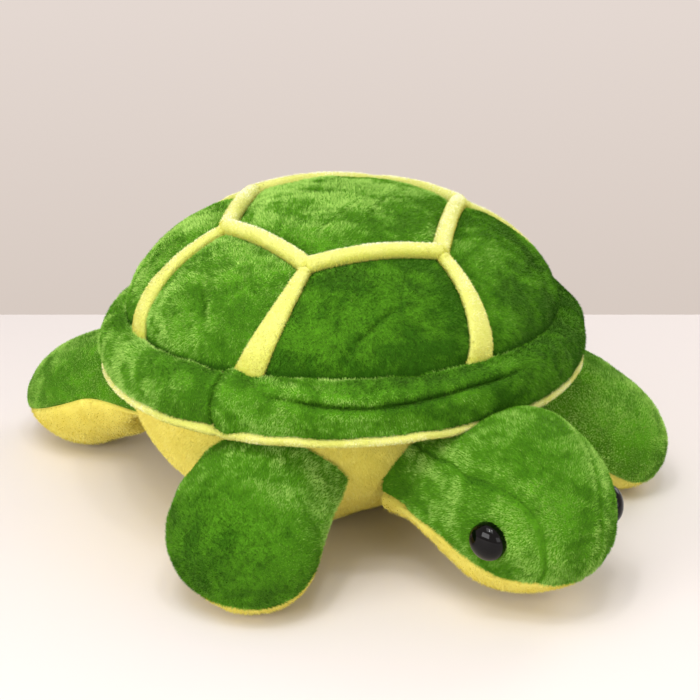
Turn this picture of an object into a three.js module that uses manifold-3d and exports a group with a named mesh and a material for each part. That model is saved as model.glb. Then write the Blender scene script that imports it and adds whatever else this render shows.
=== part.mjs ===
// A plush turtle: a padded shell with a hexagon of raised strips, a rolled rim, a round stuffed body,
// a stuffed head with two safety eyes, four stuffed flippers and a short tail.
// Millimetres, +Z up. The origin is under the middle of the shell, on the flat face the belly rests on.
// The head points along -Y and the turtle's right side is at -X.

import * as THREE from 'three';
import { mergeVertices } from 'three/addons/utils/BufferGeometryUtils.js';
import Module from 'manifold-3d';

// Cloth and fits
const CLOTH = 3;
const GAP = 0.3;
const FILL_CLEAR = 1.2;

// Body: the lower cushion that stands on the floor
const BODY_HEIGHT = 104;
const BELLY_FLAT_RADIUS = 40;
const BELLY_SEAM_HEIGHT = 42;
const BODY_ROUNDNESS_SHARE = 1.83;
const FRONT_PINCH_SHARE = 0.16;
const BELLY_PINCH_SHARE = 0.1;
const FRONT_PINCH_ANGLE = 50;

// Shell: the upper cushion, a flattened dome. The body's widest ring lies tucked in under it.
const SHELL_RADIUS = 150;
const BODY_TUCK = 2;
const DOME_RISE = 88;
const DOME_BASE_ANGLE = 82;
const FOOT_TUCK = 3.5;
const RIM_BAND_HEIGHT = 31;
const RIM_OVERHANG = 15;
const LIP_THICKNESS = 5.6;
const LIP_WIDTH = 19;
const LIP_INSET = 2;
const SHELL_TILT = 1.5;
const PANEL_PUFF = 3;

// Hexagon and ribs. Each corner is an angle from the head and a share of the hexagon's radius;
// each rib foot is an angle from the head. The hexagon is sewn on a little askew.
const HEXAGON_RADIUS = 87;
const HEXAGON_CORNER_ANGLES = [5, 76, 128, 193, 252, 308];
const HEXAGON_CORNER_SHARES = [1.04, 1, 1.03, 0.9, 0.92, 1.06];
const RIB_FOOT_ANGLES = [-2, 66, 126, 192, 255, 298];
const HEXAGON_STRIP_WIDTH = 10.4;
const HEXAGON_STRIP_THICKNESS = 8.6;
const RIB_TOP_WIDTH = 9;
const RIB_FOOT_WIDTH = 20;
const RIB_THICKNESS = 5.6;

// Where the rim band and the lip are sewn end to end, as angles from the head
const RIM_JOINT_ANGLES = [-68, 112];
const LIP_JOINT_ANGLES = [-67, 2];

// Flippers. Angles are from the head, pitch is how far a flipper hangs below level, sweep is how far
// its tip points towards the head and curl how far it bends up. Seam is how far round from its top the
// green cloth reaches, and roll turns that seam down at its front edge and up at its back edge. Each lies as
// it was stuffed and set down. Snug is how far a shoulder is pressed into the round of the body.
const SHOULDER_RADIUS = 14;
const FLARE_LENGTH = 22;
const TOP_FLARE_LEAD_SHARE = 0.35;
const FLIPPER_ROUND_SHARES = { width: 0.42, thickness: 0.45 };
const FRONT_FLIPPER = {
  rootWidth: 106, width: 101, top: 36, bottom: 41, pivotHeight: 68, snug: 0.5, seam: 108,
};
const REAR_FLIPPER = {
  rootWidth: 92, width: 102, top: 34, bottom: 44, pivotHeight: 69, snug: 1.4, seam: 90,
};
const FRONT_RIGHT_POSE = { angle: 60, pitch: 39, length: 75, sweep: 8, curl: -9, roll: 0 };
const FRONT_LEFT_POSE = { angle: 62, pitch: 36, length: 87, sweep: 24, curl: -2, roll: 12 };
const REAR_POSE = { angle: 152, pitch: 22, length: 112, sweep: -14, curl: -4, roll: 0 };

// Head. Sway is how far its tip points towards the turtle's right. The seams are shares along the head
// against shares of its width, for half the strip over the crown, and of its depth, for the chin.
const NECK_PIVOT_HEIGHT = 57;
const NECK_RADIUS = 18;
const HEAD_LENGTH = 120;
const HEAD_WIDTH = 106;
const NECK_WIDTH = 105;
const HEAD_TOP = 62;
const HEAD_BOTTOM = 59;
const HEAD_LIFT = 4;
const HEAD_SWAY = 10;
const HEAD_ROUND_SHARES = { width: 0.26, top: 0.33, bottom: 0.39 };
const HEAD_FLARE_SHARE = 0.45;
const GUSSET_SHARES = [
  [-0.6, 0.36], [-0.08, 0.37], [0.13, 0.4], [0.44, 0.38], [0.64, 0.32], [0.76, 0.27], [0.86, 0.22], [1, 0.14],
  [2, 0.14],
];
const CHIN_SEAM_SHARES = [
  [-0.6, 0], [-0.12, 0], [0, 0.1], [0.17, 0.2], [0.3, 0.27], [0.41, 0.37], [0.52, 0.48], [0.61, 0.57],
  [0.85, 0.6], [2, 0.6],
];

// Safety eyes
const EYE_DIAMETER = 24;
const EYE_DOME = 7;
const EYE_RIM = 1.6;
const EYE_CLEAR = 1.3;
const WASHER_CLEAR = 1.9;
const SHANK_DIAMETER = 5;
const SHANK_LENGTH = 13;
const WASHER_DIAMETER = 18;
const WASHER_THICKNESS = 2;
const EYE_PLACE = { along: 80, around: 94 };

// Tail
const TAIL_LENGTH = 30;
const TAIL_WIDTH = 30;
const TAIL_THICKNESS = 20;
const TAIL_PIVOT_HEIGHT = 60;
const TAIL_SHOULDER_RADIUS = 6;

const COLOURS = {
  green: 0x3f9a1f, yellow: 0xf1e768, strip: 0xf8f57e, fill: 0xf4f3ee, eye: 0x0a0a0b, washer: 0xd8d8d4,
};

const wasm = await Module();
wasm.setup();

const rad = (degrees) => THREE.MathUtils.degToRad(degrees);
const lerp = THREE.MathUtils.lerp;
const clamp = THREE.MathUtils.clamp;
const smooth = (share) => THREE.MathUtils.smoothstep(share, 0, 1);

// Sizes that follow from the ones above
const BODY_RADIUS = SHELL_RADIUS - BODY_TUCK;
const LIP_BOTTOM = BODY_HEIGHT + GAP;
const RIM_BOTTOM = LIP_BOTTOM + LIP_THICKNESS + GAP;
const RIM_TOP = RIM_BOTTOM + RIM_BAND_HEIGHT;
const DOME_BASE_RADIUS = (SHELL_RADIUS - FOOT_TUCK) * Math.sin(rad(DOME_BASE_ANGLE));
const DOME_CENTRE = RIM_TOP + GAP * 2 - DOME_RISE * Math.cos(rad(DOME_BASE_ANGLE));
const RIM_RADIUS = SHELL_RADIUS + RIM_OVERHANG;
const HEXAGON_HEIGHT = DOME_CENTRE + DOME_RISE * Math.sqrt(1 - (HEXAGON_RADIUS / SHELL_RADIUS) ** 2);

// A closed body from triangles given as corner points: shared corners are merged, triangles that shrink
// to nothing are dropped, and the faces are turned to point out.
class Facets {
  constructor() {
    this.points = [];
    this.index = new Map();
    this.triangles = [];
  }

  corner(point) {
    const key = `${Math.round(point.x * 1e3)},${Math.round(point.y * 1e3)},${Math.round(point.z * 1e3)}`;
    if (!this.index.has(key)) {
      this.index.set(key, this.points.length);
      this.points.push(point);
    }
    return this.index.get(key);
  }

  triangle(a, b, c) {
    const [i, j, k] = [this.corner(a), this.corner(b), this.corner(c)];
    if (i !== j && j !== k && k !== i) this.triangles.push([i, j, k]);
  }

  quad(a, b, c, d) {
    this.triangle(a, b, c);
    this.triangle(a, c, d);
  }

  geometry() {
    let volume = 0;
    for (const [i, j, k] of this.triangles) {
      const normal = new THREE.Vector3().crossVectors(this.points[j], this.points[k]);
      volume += this.points[i].dot(normal);
    }
    const turned = volume < 0 ? this.triangles.map(([i, j, k]) => [i, k, j]) : this.triangles;
    const geometry = new THREE.BufferGeometry();
    const flat = this.points.flatMap((point) => [point.x, point.y, point.z]);
    geometry.setAttribute('position', new THREE.Float32BufferAttribute(flat, 3));
    geometry.setIndex(turned.flat());
    geometry.computeVertexNormals();
    return geometry;
  }
}

// Points of a surface at share u across and share v along.
function grid(surface, across, along) {
  const rows = [];
  for (let j = 0; j <= along; j += 1) {
    const row = [];
    for (let i = 0; i <= across; i += 1) row.push(surface(i / across, j / along));
    rows.push(row);
  }
  return rows;
}

// A piece of cloth: an outer and an inner surface joined along their edges. With wrap the first and
// last columns are the same seamless line.
function clothGeometry(outer, inner, across, along, wrap = false) {
  const facets = new Facets();
  const top = grid(outer, across, along);
  const under = grid(inner, across, along);
  for (let j = 0; j < along; j += 1) {
    for (let i = 0; i < across; i += 1) {
      facets.quad(top[j][i], top[j][i + 1], top[j + 1][i + 1], top[j + 1][i]);
      facets.quad(under[j][i], under[j + 1][i], under[j + 1][i + 1], under[j][i + 1]);
    }
    if (!wrap) {
      facets.quad(top[j][0], top[j + 1][0], under[j + 1][0], under[j][0]);
      facets.quad(top[j + 1][across], top[j][across], under[j][across], under[j + 1][across]);
    }
  }
  for (let i = 0; i < across; i += 1) {
    facets.quad(top[0][i + 1], top[0][i], under[0][i], under[0][i + 1]);
    facets.quad(top[along][i], top[along][i + 1], under[along][i + 1], under[along][i]);
  }
  return facets.geometry();
}

// A filled piece: one wrapped surface, with a flat fan over each end that is not already a point.
function filledGeometry(surface, around, along) {
  const facets = new Facets();
  const rows = grid(surface, around, along);
  for (let j = 0; j < along; j += 1) {
    for (let i = 0; i < around; i += 1) {
      facets.quad(rows[j][i], rows[j][i + 1], rows[j + 1][i + 1], rows[j + 1][i]);
    }
  }
  for (const [row, flip] of [[rows[0], true], [rows[along], false]]) {
    const middle = new THREE.Vector3();
    for (let i = 0; i < around; i += 1) middle.addScaledVector(row[i], 1 / around);
    for (let i = 0; i < around; i += 1) {
      if (flip) facets.triangle(middle, row[i + 1], row[i]);
      else facets.triangle(middle, row[i], row[i + 1]);
    }
  }
  return facets.geometry();
}

// Boolean joins and cuts
function toSolid(geometry) {
  const bare = geometry.clone();
  bare.deleteAttribute('normal');
  bare.deleteAttribute('uv');
  const merged = mergeVertices(bare);
  const vertProperties = new Float32Array(merged.attributes.position.array);
  const triVerts = new Uint32Array(merged.index.array);
  return new wasm.Manifold(new wasm.Mesh({ numProp: 3, vertProperties, triVerts }));
}

function fromSolid(solid) {
  const mesh = solid.getMesh();
  const geometry = new THREE.BufferGeometry();
  geometry.setAttribute('position', new THREE.Float32BufferAttribute(mesh.vertProperties, 3));
  geometry.setIndex(Array.from(mesh.triVerts));
  geometry.computeVertexNormals();
  return geometry;
}

function node(name, geometry, colour, roughness = 0.95) {
  const material = new THREE.MeshStandardMaterial({ color: colour, roughness, metalness: 0 });
  const mesh = new THREE.Mesh(geometry, material);
  mesh.name = name;
  return mesh;
}

// The point at an angle from the head, a radius from the middle and a height.
function polar(angle, radius, height) {
  return new THREE.Vector3(radius * Math.sin(angle), -radius * Math.cos(angle), height);
}

// The whole shell leans back a little: everything between the body's top and the dome's foot rises
// towards the head, fading to nothing at the belly and at the hexagon.
function lean(point) {
  const below = clamp(point.z / BODY_HEIGHT, 0, 1);
  const above = clamp((HEXAGON_HEIGHT - point.z) / (HEXAGON_HEIGHT - RIM_TOP), 0, 1);
  point.z -= Math.tan(rad(SHELL_TILT)) * point.y * Math.min(below, above);
  return point;
}

// The dome's surface at an angle from the head and an angle down from the top, raised by lift.
function domePoint(angle, down, lift) {
  const tucked = lift - FOOT_TUCK * (down / rad(DOME_BASE_ANGLE)) ** 6;
  const radius = (SHELL_RADIUS + tucked) * Math.sin(down);
  return lean(polar(angle, radius, DOME_CENTRE + (DOME_RISE + tucked) * Math.cos(down)));
}

const domeAngle = (radius) => Math.asin(Math.min(radius / SHELL_RADIUS, 1));

// Corners of the hexagon in plan
function hexagonCorner(index) {
  const turns = Math.floor(index / 6);
  const i = index - turns * 6;
  const angle = rad(HEXAGON_CORNER_ANGLES[i]);
  const radius = HEXAGON_RADIUS * HEXAGON_CORNER_SHARES[i];
  return new THREE.Vector2(radius * Math.sin(angle), -radius * Math.cos(angle));
}

// How far the hexagon's side i lies from the middle
function sideDistance(i) {
  const start = hexagonCorner(i);
  const along = hexagonCorner(i + 1).sub(start).normalize();
  return Math.abs(start.cross(along));
}

const STRIP_CLEAR = HEXAGON_STRIP_WIDTH / 2 + GAP;

// A point of side i at a share along it, moved out by clear, as an angle and a distance from the middle.
function sidePoint(i, share, clear) {
  const point = hexagonCorner(i).lerp(hexagonCorner(i + 1), share);
  const radius = point.length() * (1 + clear / sideDistance(i));
  return { angle: Math.atan2(point.x, -point.y), radius };
}

function ribFootAngle(index) {
  const turns = Math.floor(index / 6);
  return rad(RIB_FOOT_ANGLES[index - turns * 6]) + turns * 2 * Math.PI;
}

function topAngle(i, share) {
  const first = rad(HEXAGON_CORNER_ANGLES[i]);
  const angle = sidePoint(i, share, 0).angle;
  return angle < first - GAP / HEXAGON_RADIUS ? angle + 2 * Math.PI : angle;
}

const TOP_FACET_COUNTS = { around: 30, along: 4 };
const SIDE_FACET_COUNTS = { across: 7, along: 6 };
const STUFFING_FACET_COUNTS = { around: 24, along: 6 };

// The hexagonal panel on top, puffed up in the middle
function topPanel() {
  const surface = (lift, puff) => (u, v) => {
    const turn = (u * 6) % 6;
    const side = Math.floor(turn);
    const edge = sidePoint(side, turn - side, -STRIP_CLEAR);
    const down = domeAngle(edge.radius) * v;
    return domePoint(edge.angle, down, lift + puff * (1 - v ** 2));
  };
  const { around, along } = TOP_FACET_COUNTS;
  return clothGeometry(surface(0, PANEL_PUFF), surface(-CLOTH, 0), around, along, true);
}

// One of the six panels round the side of the dome, puffed up between its ribs
function sidePanel(i) {
  const base = rad(DOME_BASE_ANGLE);
  const surface = (lift, puff) => (u, v) => {
    const edge = sidePoint(i, u, STRIP_CLEAR);
    const down = lerp(domeAngle(edge.radius), base, v);
    const foot = lerp(ribFootAngle(i), ribFootAngle(i + 1), u);
    const half = lerp(RIB_TOP_WIDTH, RIB_FOOT_WIDTH, v) / 2 + GAP;
    const angle = lerp(topAngle(i, u), foot, v) + (1 - 2 * u) * (half / (SHELL_RADIUS * Math.sin(down)));
    const swell = puff * Math.sin(Math.PI * u) * Math.sin(Math.PI * v);
    return domePoint(angle, down, lift + swell);
  };
  const { across, along } = SIDE_FACET_COUNTS;
  return clothGeometry(surface(0, PANEL_PUFF), surface(-CLOTH, 0), across, along);
}

// One raised strip of the hexagon, mitred against its neighbours
function hexagonStrip(i) {
  const start = hexagonCorner(i);
  const end = hexagonCorner(i + 1);
  const length = start.distanceTo(end);
  const along = end.clone().sub(start).normalize();
  const out = new THREE.Vector2(along.y, -along.x);
  const previous = start.clone().sub(hexagonCorner(i + 5)).normalize();
  const next = hexagonCorner(i + 2).sub(end).normalize();
  if (out.dot(start) < 0) out.negate();
  const startMitre = Math.tan(Math.acos(clamp(previous.dot(along), -1, 1)) / 2);
  const endMitre = Math.tan(Math.acos(clamp(next.dot(along), -1, 1)) / 2);
  const surface = (u, v) => {
    const turn = u * 2 * Math.PI;
    const side = Math.cos(turn) * HEXAGON_STRIP_WIDTH / 2;
    const raise = (Math.sin(turn) + 1) * HEXAGON_STRIP_THICKNESS / 2 - CLOTH;
    const place = lerp(GAP - side * startMitre, length - GAP + side * endMitre, v);
    const point = start.clone().addScaledVector(along, place).addScaledVector(out, side);
    return domePoint(Math.atan2(point.x, -point.y), domeAngle(point.length()), raise);
  };
  return filledGeometry(surface, 8, 6);
}

// One rib strip, from a corner of the hexagon to the foot of the dome, widening on the way
function ribStrip(i) {
  const base = rad(DOME_BASE_ANGLE);
  const edge = sidePoint(i, 0, STRIP_CLEAR);
  const surface = (u, v) => {
    const turn = u * 2 * Math.PI;
    const down = lerp(domeAngle(edge.radius), base, v);
    const side = Math.cos(turn) * lerp(RIB_TOP_WIDTH, RIB_FOOT_WIDTH, v) / 2;
    const raise = (Math.sin(turn) + 1) * RIB_THICKNESS / 2 - CLOTH;
    const angle = lerp(topAngle(i, 0), ribFootAngle(i), v) + side / (SHELL_RADIUS * Math.sin(down));
    return domePoint(angle, down, raise);
  };
  return filledGeometry(surface, 8, 6);
}

// A stretch of a ring: a section given as radius and height pairs, swept between two angles
function ringStretch(section, from, to, steps) {
  const surface = (u, v) => {
    const [radius, height] = section[Math.round(u * section.length) % section.length];
    return lean(polar(lerp(from, to, v), radius, height));
  };
  return filledGeometry(surface, section.length, steps);
}

// The padded green band round the shell's edge, in shares of its overhang and height
function rimSection() {
  const inner = DOME_BASE_RADIUS;
  const width = RIM_RADIUS - inner;
  const shares = [
    [0.03, 1], [0.45, 0.96], [0.83, 0.76], [1, 0.45], [0.95, 0.16], [0.8, 0], [0.2, 0], [0, 0.5],
  ];
  return shares.map(([out, up]) => [inner + width * out, RIM_BOTTOM + RIM_BAND_HEIGHT * up]);
}

// The yellow roll under the band
function lipSection() {
  const middle = RIM_RADIUS - LIP_INSET - LIP_WIDTH / 2;
  const section = [];
  for (let i = 0; i < 8; i += 1) {
    const turn = (i + 0.5) / 8 * 2 * Math.PI;
    const out = Math.cos(turn) / Math.cos(Math.PI / 8);
    const up = Math.sin(turn) / Math.cos(Math.PI / 8);
    section.push([
      middle + out * LIP_WIDTH / 2,
      LIP_BOTTOM + (1 + clamp(up, -1, 1)) * LIP_THICKNESS / 2,
    ]);
  }
  return section;
}

const RING_STEP_ANGLE = rad(8);

function ringPieces(names, section, joints, colour) {
  const slack = GAP / RIM_RADIUS;
  const pieces = [];
  names.forEach((name, i) => {
    const from = rad(joints[i]) + slack;
    const turn = i + 1 < joints.length ? 0 : 2 * Math.PI;
    const to = rad(joints[(i + 1) % joints.length]) + turn - slack;
    const steps = Math.max(Math.round((to - from) / RING_STEP_ANGLE), 4);
    pieces.push(node(name, ringStretch(section, from, to, steps), colour));
  });
  return pieces;
}

// The body's radius at a height: a flat spot on the floor, then a round bowl, drawn in at the front and
// most of all half way up the belly.
function bodyRadius(angle, height) {
  const up = clamp((BODY_HEIGHT - height) / BODY_HEIGHT, 0, 1);
  const share = (1 - up ** BODY_ROUNDNESS_SHARE) ** (1 / BODY_ROUNDNESS_SHARE);
  const full = BELLY_FLAT_RADIUS + (BODY_RADIUS - BELLY_FLAT_RADIUS) * share;
  const turned = Math.atan2(Math.sin(angle), Math.cos(angle)) / rad(FRONT_PINCH_ANGLE);
  const belly = Math.sin(Math.PI * clamp(height / BELLY_SEAM_HEIGHT, 0, 1));
  const pinch = FRONT_PINCH_SHARE + BELLY_PINCH_SHARE * belly;
  return full * (1 - pinch * Math.exp(-(turned ** 4)));
}

// The bowl shrunk towards the middle of its top by inset
function bodyPoint(angle, height, inset) {
  const point = polar(angle, bodyRadius(angle, height), height);
  const middle = new THREE.Vector3(0, 0, BODY_HEIGHT);
  const away = point.clone().sub(middle);
  point.addScaledVector(away.normalize(), -inset);
  return lean(point);
}

const BODY_FACET_COUNTS = { around: 32, belly: 4, wall: 4 };

// Heights up the belly at share v from the flat spot to the seam, and up the wall from the seam to its top
const bellyHeight = (v) => BELLY_SEAM_HEIGHT * v ** 2;
const wallHeight = (v) => lerp(BELLY_SEAM_HEIGHT + GAP, BODY_HEIGHT, v);

function bodyWall() {
  const surface = (inset) => (u, v) => bodyPoint(u * 2 * Math.PI, wallHeight(v), inset);
  return clothGeometry(surface(0), surface(CLOTH), BODY_FACET_COUNTS.around, BODY_FACET_COUNTS.wall, true);
}

// The first row of facets fans out from the middle of the flat spot.
function bellyPanel() {
  const rows = BODY_FACET_COUNTS.belly + 1;
  const flat = 1 / rows;
  const surface = (inset) => (u, v) => {
    const point = bodyPoint(u * 2 * Math.PI, bellyHeight(Math.max(v - flat, 0) / (1 - flat)), inset);
    const inward = Math.min(v / flat, 1);
    return new THREE.Vector3(point.x * inward, point.y * inward, point.z);
  };
  return clothGeometry(surface(0), surface(CLOTH), BODY_FACET_COUNTS.around, rows, true);
}

function bodyStuffing() {
  const { around, belly, wall } = BODY_FACET_COUNTS;
  const surface = (u, v) => {
    const row = v * (belly + wall);
    const height = row < belly ? bellyHeight(row / belly) : wallHeight((row - belly) / wall);
    return bodyPoint(u * 2 * Math.PI, height, CLOTH + FILL_CLEAR);
  };
  return filledGeometry(surface, around, belly + wall);
}

function shellStuffing() {
  const inset = CLOTH + FILL_CLEAR;
  const rows = STUFFING_FACET_COUNTS.along;
  const surface = (u, v) => {
    const angle = u * 2 * Math.PI;
    if (v === 0) return lean(polar(angle, DOME_BASE_RADIUS - inset - GAP, BODY_HEIGHT + GAP));
    return domePoint(angle, rad(DOME_BASE_ANGLE) * (1 - v) * rows / (rows - 1), -inset);
  };
  return filledGeometry(surface, STUFFING_FACET_COUNTS.around, rows);
}

// How far out a round shoulder of some radius and half width can sit before it touches the body
function shoulderDistance(angle, height, radius, halfWidth) {
  const out = polar(angle, 1, 0);
  const widest = Math.asin(halfWidth / BODY_RADIUS);
  const steps = 60;
  let reach = 0;
  for (let i = 0; i <= steps; i += 1) {
    for (let side = -steps; side <= steps; side += 1) {
      const wall = bodyPoint(angle + widest * side / steps, BODY_HEIGHT * i / steps, 0);
      const up = wall.z - height;
      if (Math.abs(up) < radius) reach = Math.max(reach, wall.dot(out) + Math.sqrt(radius ** 2 - up ** 2));
    }
  }
  return reach + GAP;
}

// Rounds off a limb towards its tip: 1 up to the share where the nose starts, then an ellipse.
function nose(share, start) {
  if (share <= start) return 1;
  const out = Math.min((share - start) / (1 - start), 1);
  return Math.sqrt(1 - out ** 2);
}

// How much of the round shoulder is left before the root is cut flat, and how stations bunch at the root
const ROOT_SHARE = 0.9;
const BUNCH_SHARE = 0.9;

// Stations along a limb from its root to its tip, closer together at both ends
function station(v, radius, reach) {
  const from = -radius * ROOT_SHARE;
  return lerp(from, reach, (1 - Math.cos(Math.PI * v ** BUNCH_SHARE)) / 2);
}

// A flipper in its own frame: X runs out from the pivot, Y to the turtle's left, Z up. The root is a
// round shoulder about the pivot, then it flares and ends in a blunt round tip.
function flipperPoint(sizes, pose, side, v, turn, inset) {
  const reach = pose.length - inset;
  const out = station(v, SHOULDER_RADIUS, reach);
  const share = Math.max(out / reach, 0);
  const swell = smooth((out + SHOULDER_RADIUS) / (pose.length / 2 + SHOULDER_RADIUS));
  const round = FLIPPER_ROUND_SHARES;
  const width = (lerp(sizes.rootWidth, sizes.width, swell) / 2 - inset) * nose(share, round.width);
  const shoulder = Math.sqrt(Math.max(SHOULDER_RADIUS ** 2 - Math.min(out, 0) ** 2, 0));
  const above = Math.cos(turn) > 0;
  const flare = smooth(out / FLARE_LENGTH + (above ? TOP_FLARE_LEAD_SHARE : 0));
  const full = lerp(shoulder, above ? sizes.top : sizes.bottom, flare) - inset;
  const thick = full * nose(share, round.thickness);
  const across = pose.sweep * share * -side + width * Math.sin(turn);
  return new THREE.Vector3(out, across, pose.curl * share ** 2 + thick * Math.cos(turn));
}

const FLIPPER_FACET_COUNTS = { top: 8, bottom: 6, along: 8 };

// The angle round a flipper's section at share u across its top (sign 1) or its bottom (sign -1)
function flipperTurn(sizes, pose, side, sign, u) {
  const first = -rad(sizes.seam + pose.roll * side);
  const last = rad(sizes.seam - pose.roll * side);
  return sign > 0 ? lerp(first, last, u) : lerp(last, first + 2 * Math.PI, u);
}

function flipperSkin(sizes, pose, side, sign) {
  const surface = (inset) => (u, v) => {
    const point = flipperPoint(sizes, pose, side, v, flipperTurn(sizes, pose, side, sign, u), inset);
    point.z += sign * GAP / 2;
    return point;
  };
  const across = sign > 0 ? FLIPPER_FACET_COUNTS.top : FLIPPER_FACET_COUNTS.bottom;
  return clothGeometry(surface(0), surface(CLOTH), across, FLIPPER_FACET_COUNTS.along);
}

function flipperStuffing(sizes, pose, side) {
  const { top, bottom, along } = FLIPPER_FACET_COUNTS;
  const surface = (u, v) => {
    const column = u * (top + bottom);
    const below = column > top;
    const share = below ? (column - top) / bottom : column / top;
    const turn = flipperTurn(sizes, pose, side, below ? -1 : 1, share);
    return flipperPoint(sizes, pose, side, v, turn, CLOTH + FILL_CLEAR);
  };
  return filledGeometry(surface, top + bottom, along);
}

function flipper(name, sizes, pose, side) {
  const group = new THREE.Group();
  const angle = rad(pose.angle) * side;
  const touching = shoulderDistance(angle, sizes.pivotHeight, SHOULDER_RADIUS, sizes.rootWidth / 2);
  const distance = touching - sizes.snug;
  group.position.copy(polar(angle, distance, sizes.pivotHeight));
  group.rotation.z = angle - Math.PI / 2;
  const limb = new THREE.Group();
  limb.rotation.y = rad(pose.pitch);
  limb.add(node(`${name}_top`, flipperSkin(sizes, pose, side, 1), COLOURS.green));
  limb.add(node(`${name}_bottom`, flipperSkin(sizes, pose, side, -1), COLOURS.yellow));
  limb.add(node(`${name}_stuffing`, flipperStuffing(sizes, pose, side), COLOURS.fill));
  group.add(limb);
  return group;
}

// The head in its own frame: X to the turtle's left, Y towards the body, Z up, the neck's pivot at the
// origin.
function headShape(out, turn, inset) {
  const share = Math.max(out / (HEAD_LENGTH - inset), 0);
  const swell = smooth((out + NECK_RADIUS) / (HEAD_LENGTH / 2 + NECK_RADIUS));
  const width = (lerp(NECK_WIDTH, HEAD_WIDTH, swell) / 2 - inset) * nose(share, HEAD_ROUND_SHARES.width);
  const shoulder = Math.sqrt(Math.max(NECK_RADIUS ** 2 - Math.min(out, 0) ** 2, 0));
  const above = Math.cos(turn) > 0;
  const full = lerp(shoulder, above ? HEAD_TOP : HEAD_BOTTOM, smooth(out / HEAD_LENGTH / HEAD_FLARE_SHARE));
  const thick = (full - inset) * nose(share, above ? HEAD_ROUND_SHARES.top : HEAD_ROUND_SHARES.bottom);
  return swayed(width * Math.sin(turn), out, thick * Math.cos(turn));
}

// A point across and above the head's middle line at a distance out, moved and turned as that line sways
function swayed(across, out, height) {
  const share = clamp(out / HEAD_LENGTH, 0, 1);
  const lead = across * share * 2 * HEAD_SWAY / HEAD_LENGTH;
  return new THREE.Vector3(across - HEAD_SWAY * share ** 2, -out - lead, height);
}

function headBlob(inset, around, along) {
  const reach = HEAD_LENGTH - inset;
  const surface = (u, v) => headShape(station(v, NECK_RADIUS, reach), u * 2 * Math.PI, inset);
  return filledGeometry(surface, around, along);
}

// A region of space between two edges of a strip in plan or in side view, pushed through the whole head
function throughHead(outline, sideView) {
  const depth = 2 * (HEAD_LENGTH + HEAD_WIDTH);
  const shape = new THREE.Shape(outline.map(([a, b]) => new THREE.Vector2(a, b)));
  const geometry = new THREE.ExtrudeGeometry(shape, { depth, bevelEnabled: false });
  geometry.translate(0, 0, -depth / 2);
  if (sideView) {
    const toSide = new THREE.Matrix4().makeBasis(
      new THREE.Vector3(0, 1, 0), new THREE.Vector3(0, 0, 1), new THREE.Vector3(1, 0, 0),
    );
    geometry.applyMatrix4(toSide);
  }
  return toSolid(geometry);
}

// The seam between the green top and the yellow underside, as heights along the head
function undersideOutline(rise) {
  const far = HEAD_LENGTH + HEAD_WIDTH;
  const line = CHIN_SEAM_SHARES.map(([out, down]) => [-HEAD_LENGTH * out, rise - HEAD_BOTTOM * down]);
  return [...line, [-far * 2, -far], [HEAD_LENGTH, -far]];
}

// The strip over the top of the head, as half widths along it
function gussetOutline(extra) {
  const edge = (side) => GUSSET_SHARES.map(([out, wide]) => {
    const point = swayed(side * (HEAD_WIDTH * wide + extra), HEAD_LENGTH * out, 0);
    return [point.x, point.y];
  });
  return [...edge(1), ...edge(-1).reverse()];
}

// Where an eye sits: a point on the head's skin and the direction that it faces
function eyePlace(side) {
  const turn = rad(EYE_PLACE.around) * side;
  const at = headShape(EYE_PLACE.along, turn, 0);
  const ahead = EYE_DIAMETER / 2;
  const alongStep = headShape(EYE_PLACE.along + ahead, turn, 0)
    .sub(headShape(EYE_PLACE.along - ahead, turn, 0));
  const turnStep = ahead / HEAD_TOP;
  const aroundStep = headShape(EYE_PLACE.along, turn + turnStep, 0)
    .sub(headShape(EYE_PLACE.along, turn - turnStep, 0));
  const facing = alongStep.cross(aroundStep).normalize();
  if (facing.x * side < 0) facing.negate();
  return { at, facing };
}

function placed(geometry, place, offset) {
  const turn = new THREE.Quaternion().setFromUnitVectors(new THREE.Vector3(0, 1, 0), place.facing);
  geometry.applyQuaternion(turn);
  const at = place.at.clone().addScaledVector(place.facing, offset);
  geometry.translate(at.x, at.y, at.z);
  return geometry;
}

// A domed eye on a straight shank, turned about the shank's axis
function eyeGeometry() {
  const radius = EYE_DIAMETER / 2;
  const shank = SHANK_DIAMETER / 2;
  const outline = [[0, -SHANK_LENGTH], [shank, -SHANK_LENGTH], [shank, 0], [radius, 0]];
  for (let i = 0; i <= 5; i += 1) {
    const turn = Math.PI / 2 * (i / 5);
    outline.push([radius * Math.cos(turn), EYE_RIM + EYE_DOME * Math.sin(turn)]);
  }
  return new THREE.LatheGeometry(outline.map(([x, y]) => new THREE.Vector2(Math.max(x, 0), y)), 20);
}

function washerGeometry() {
  const hole = SHANK_DIAMETER / 2 + GAP;
  const edge = WASHER_DIAMETER / 2;
  const outline = [[hole, 0], [edge, 0], [edge, WASHER_THICKNESS], [hole, WASHER_THICKNESS], [hole, 0]];
  return new THREE.LatheGeometry(outline.map(([x, y]) => new THREE.Vector2(x, y)), 16);
}

const HOLE_FACET_COUNTS = { shank: 12, washer: 16 };
const HEAD_FACET_COUNTS = { around: { skin: 24, fill: 20 }, along: { skin: 14, fill: 12 } };

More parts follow.
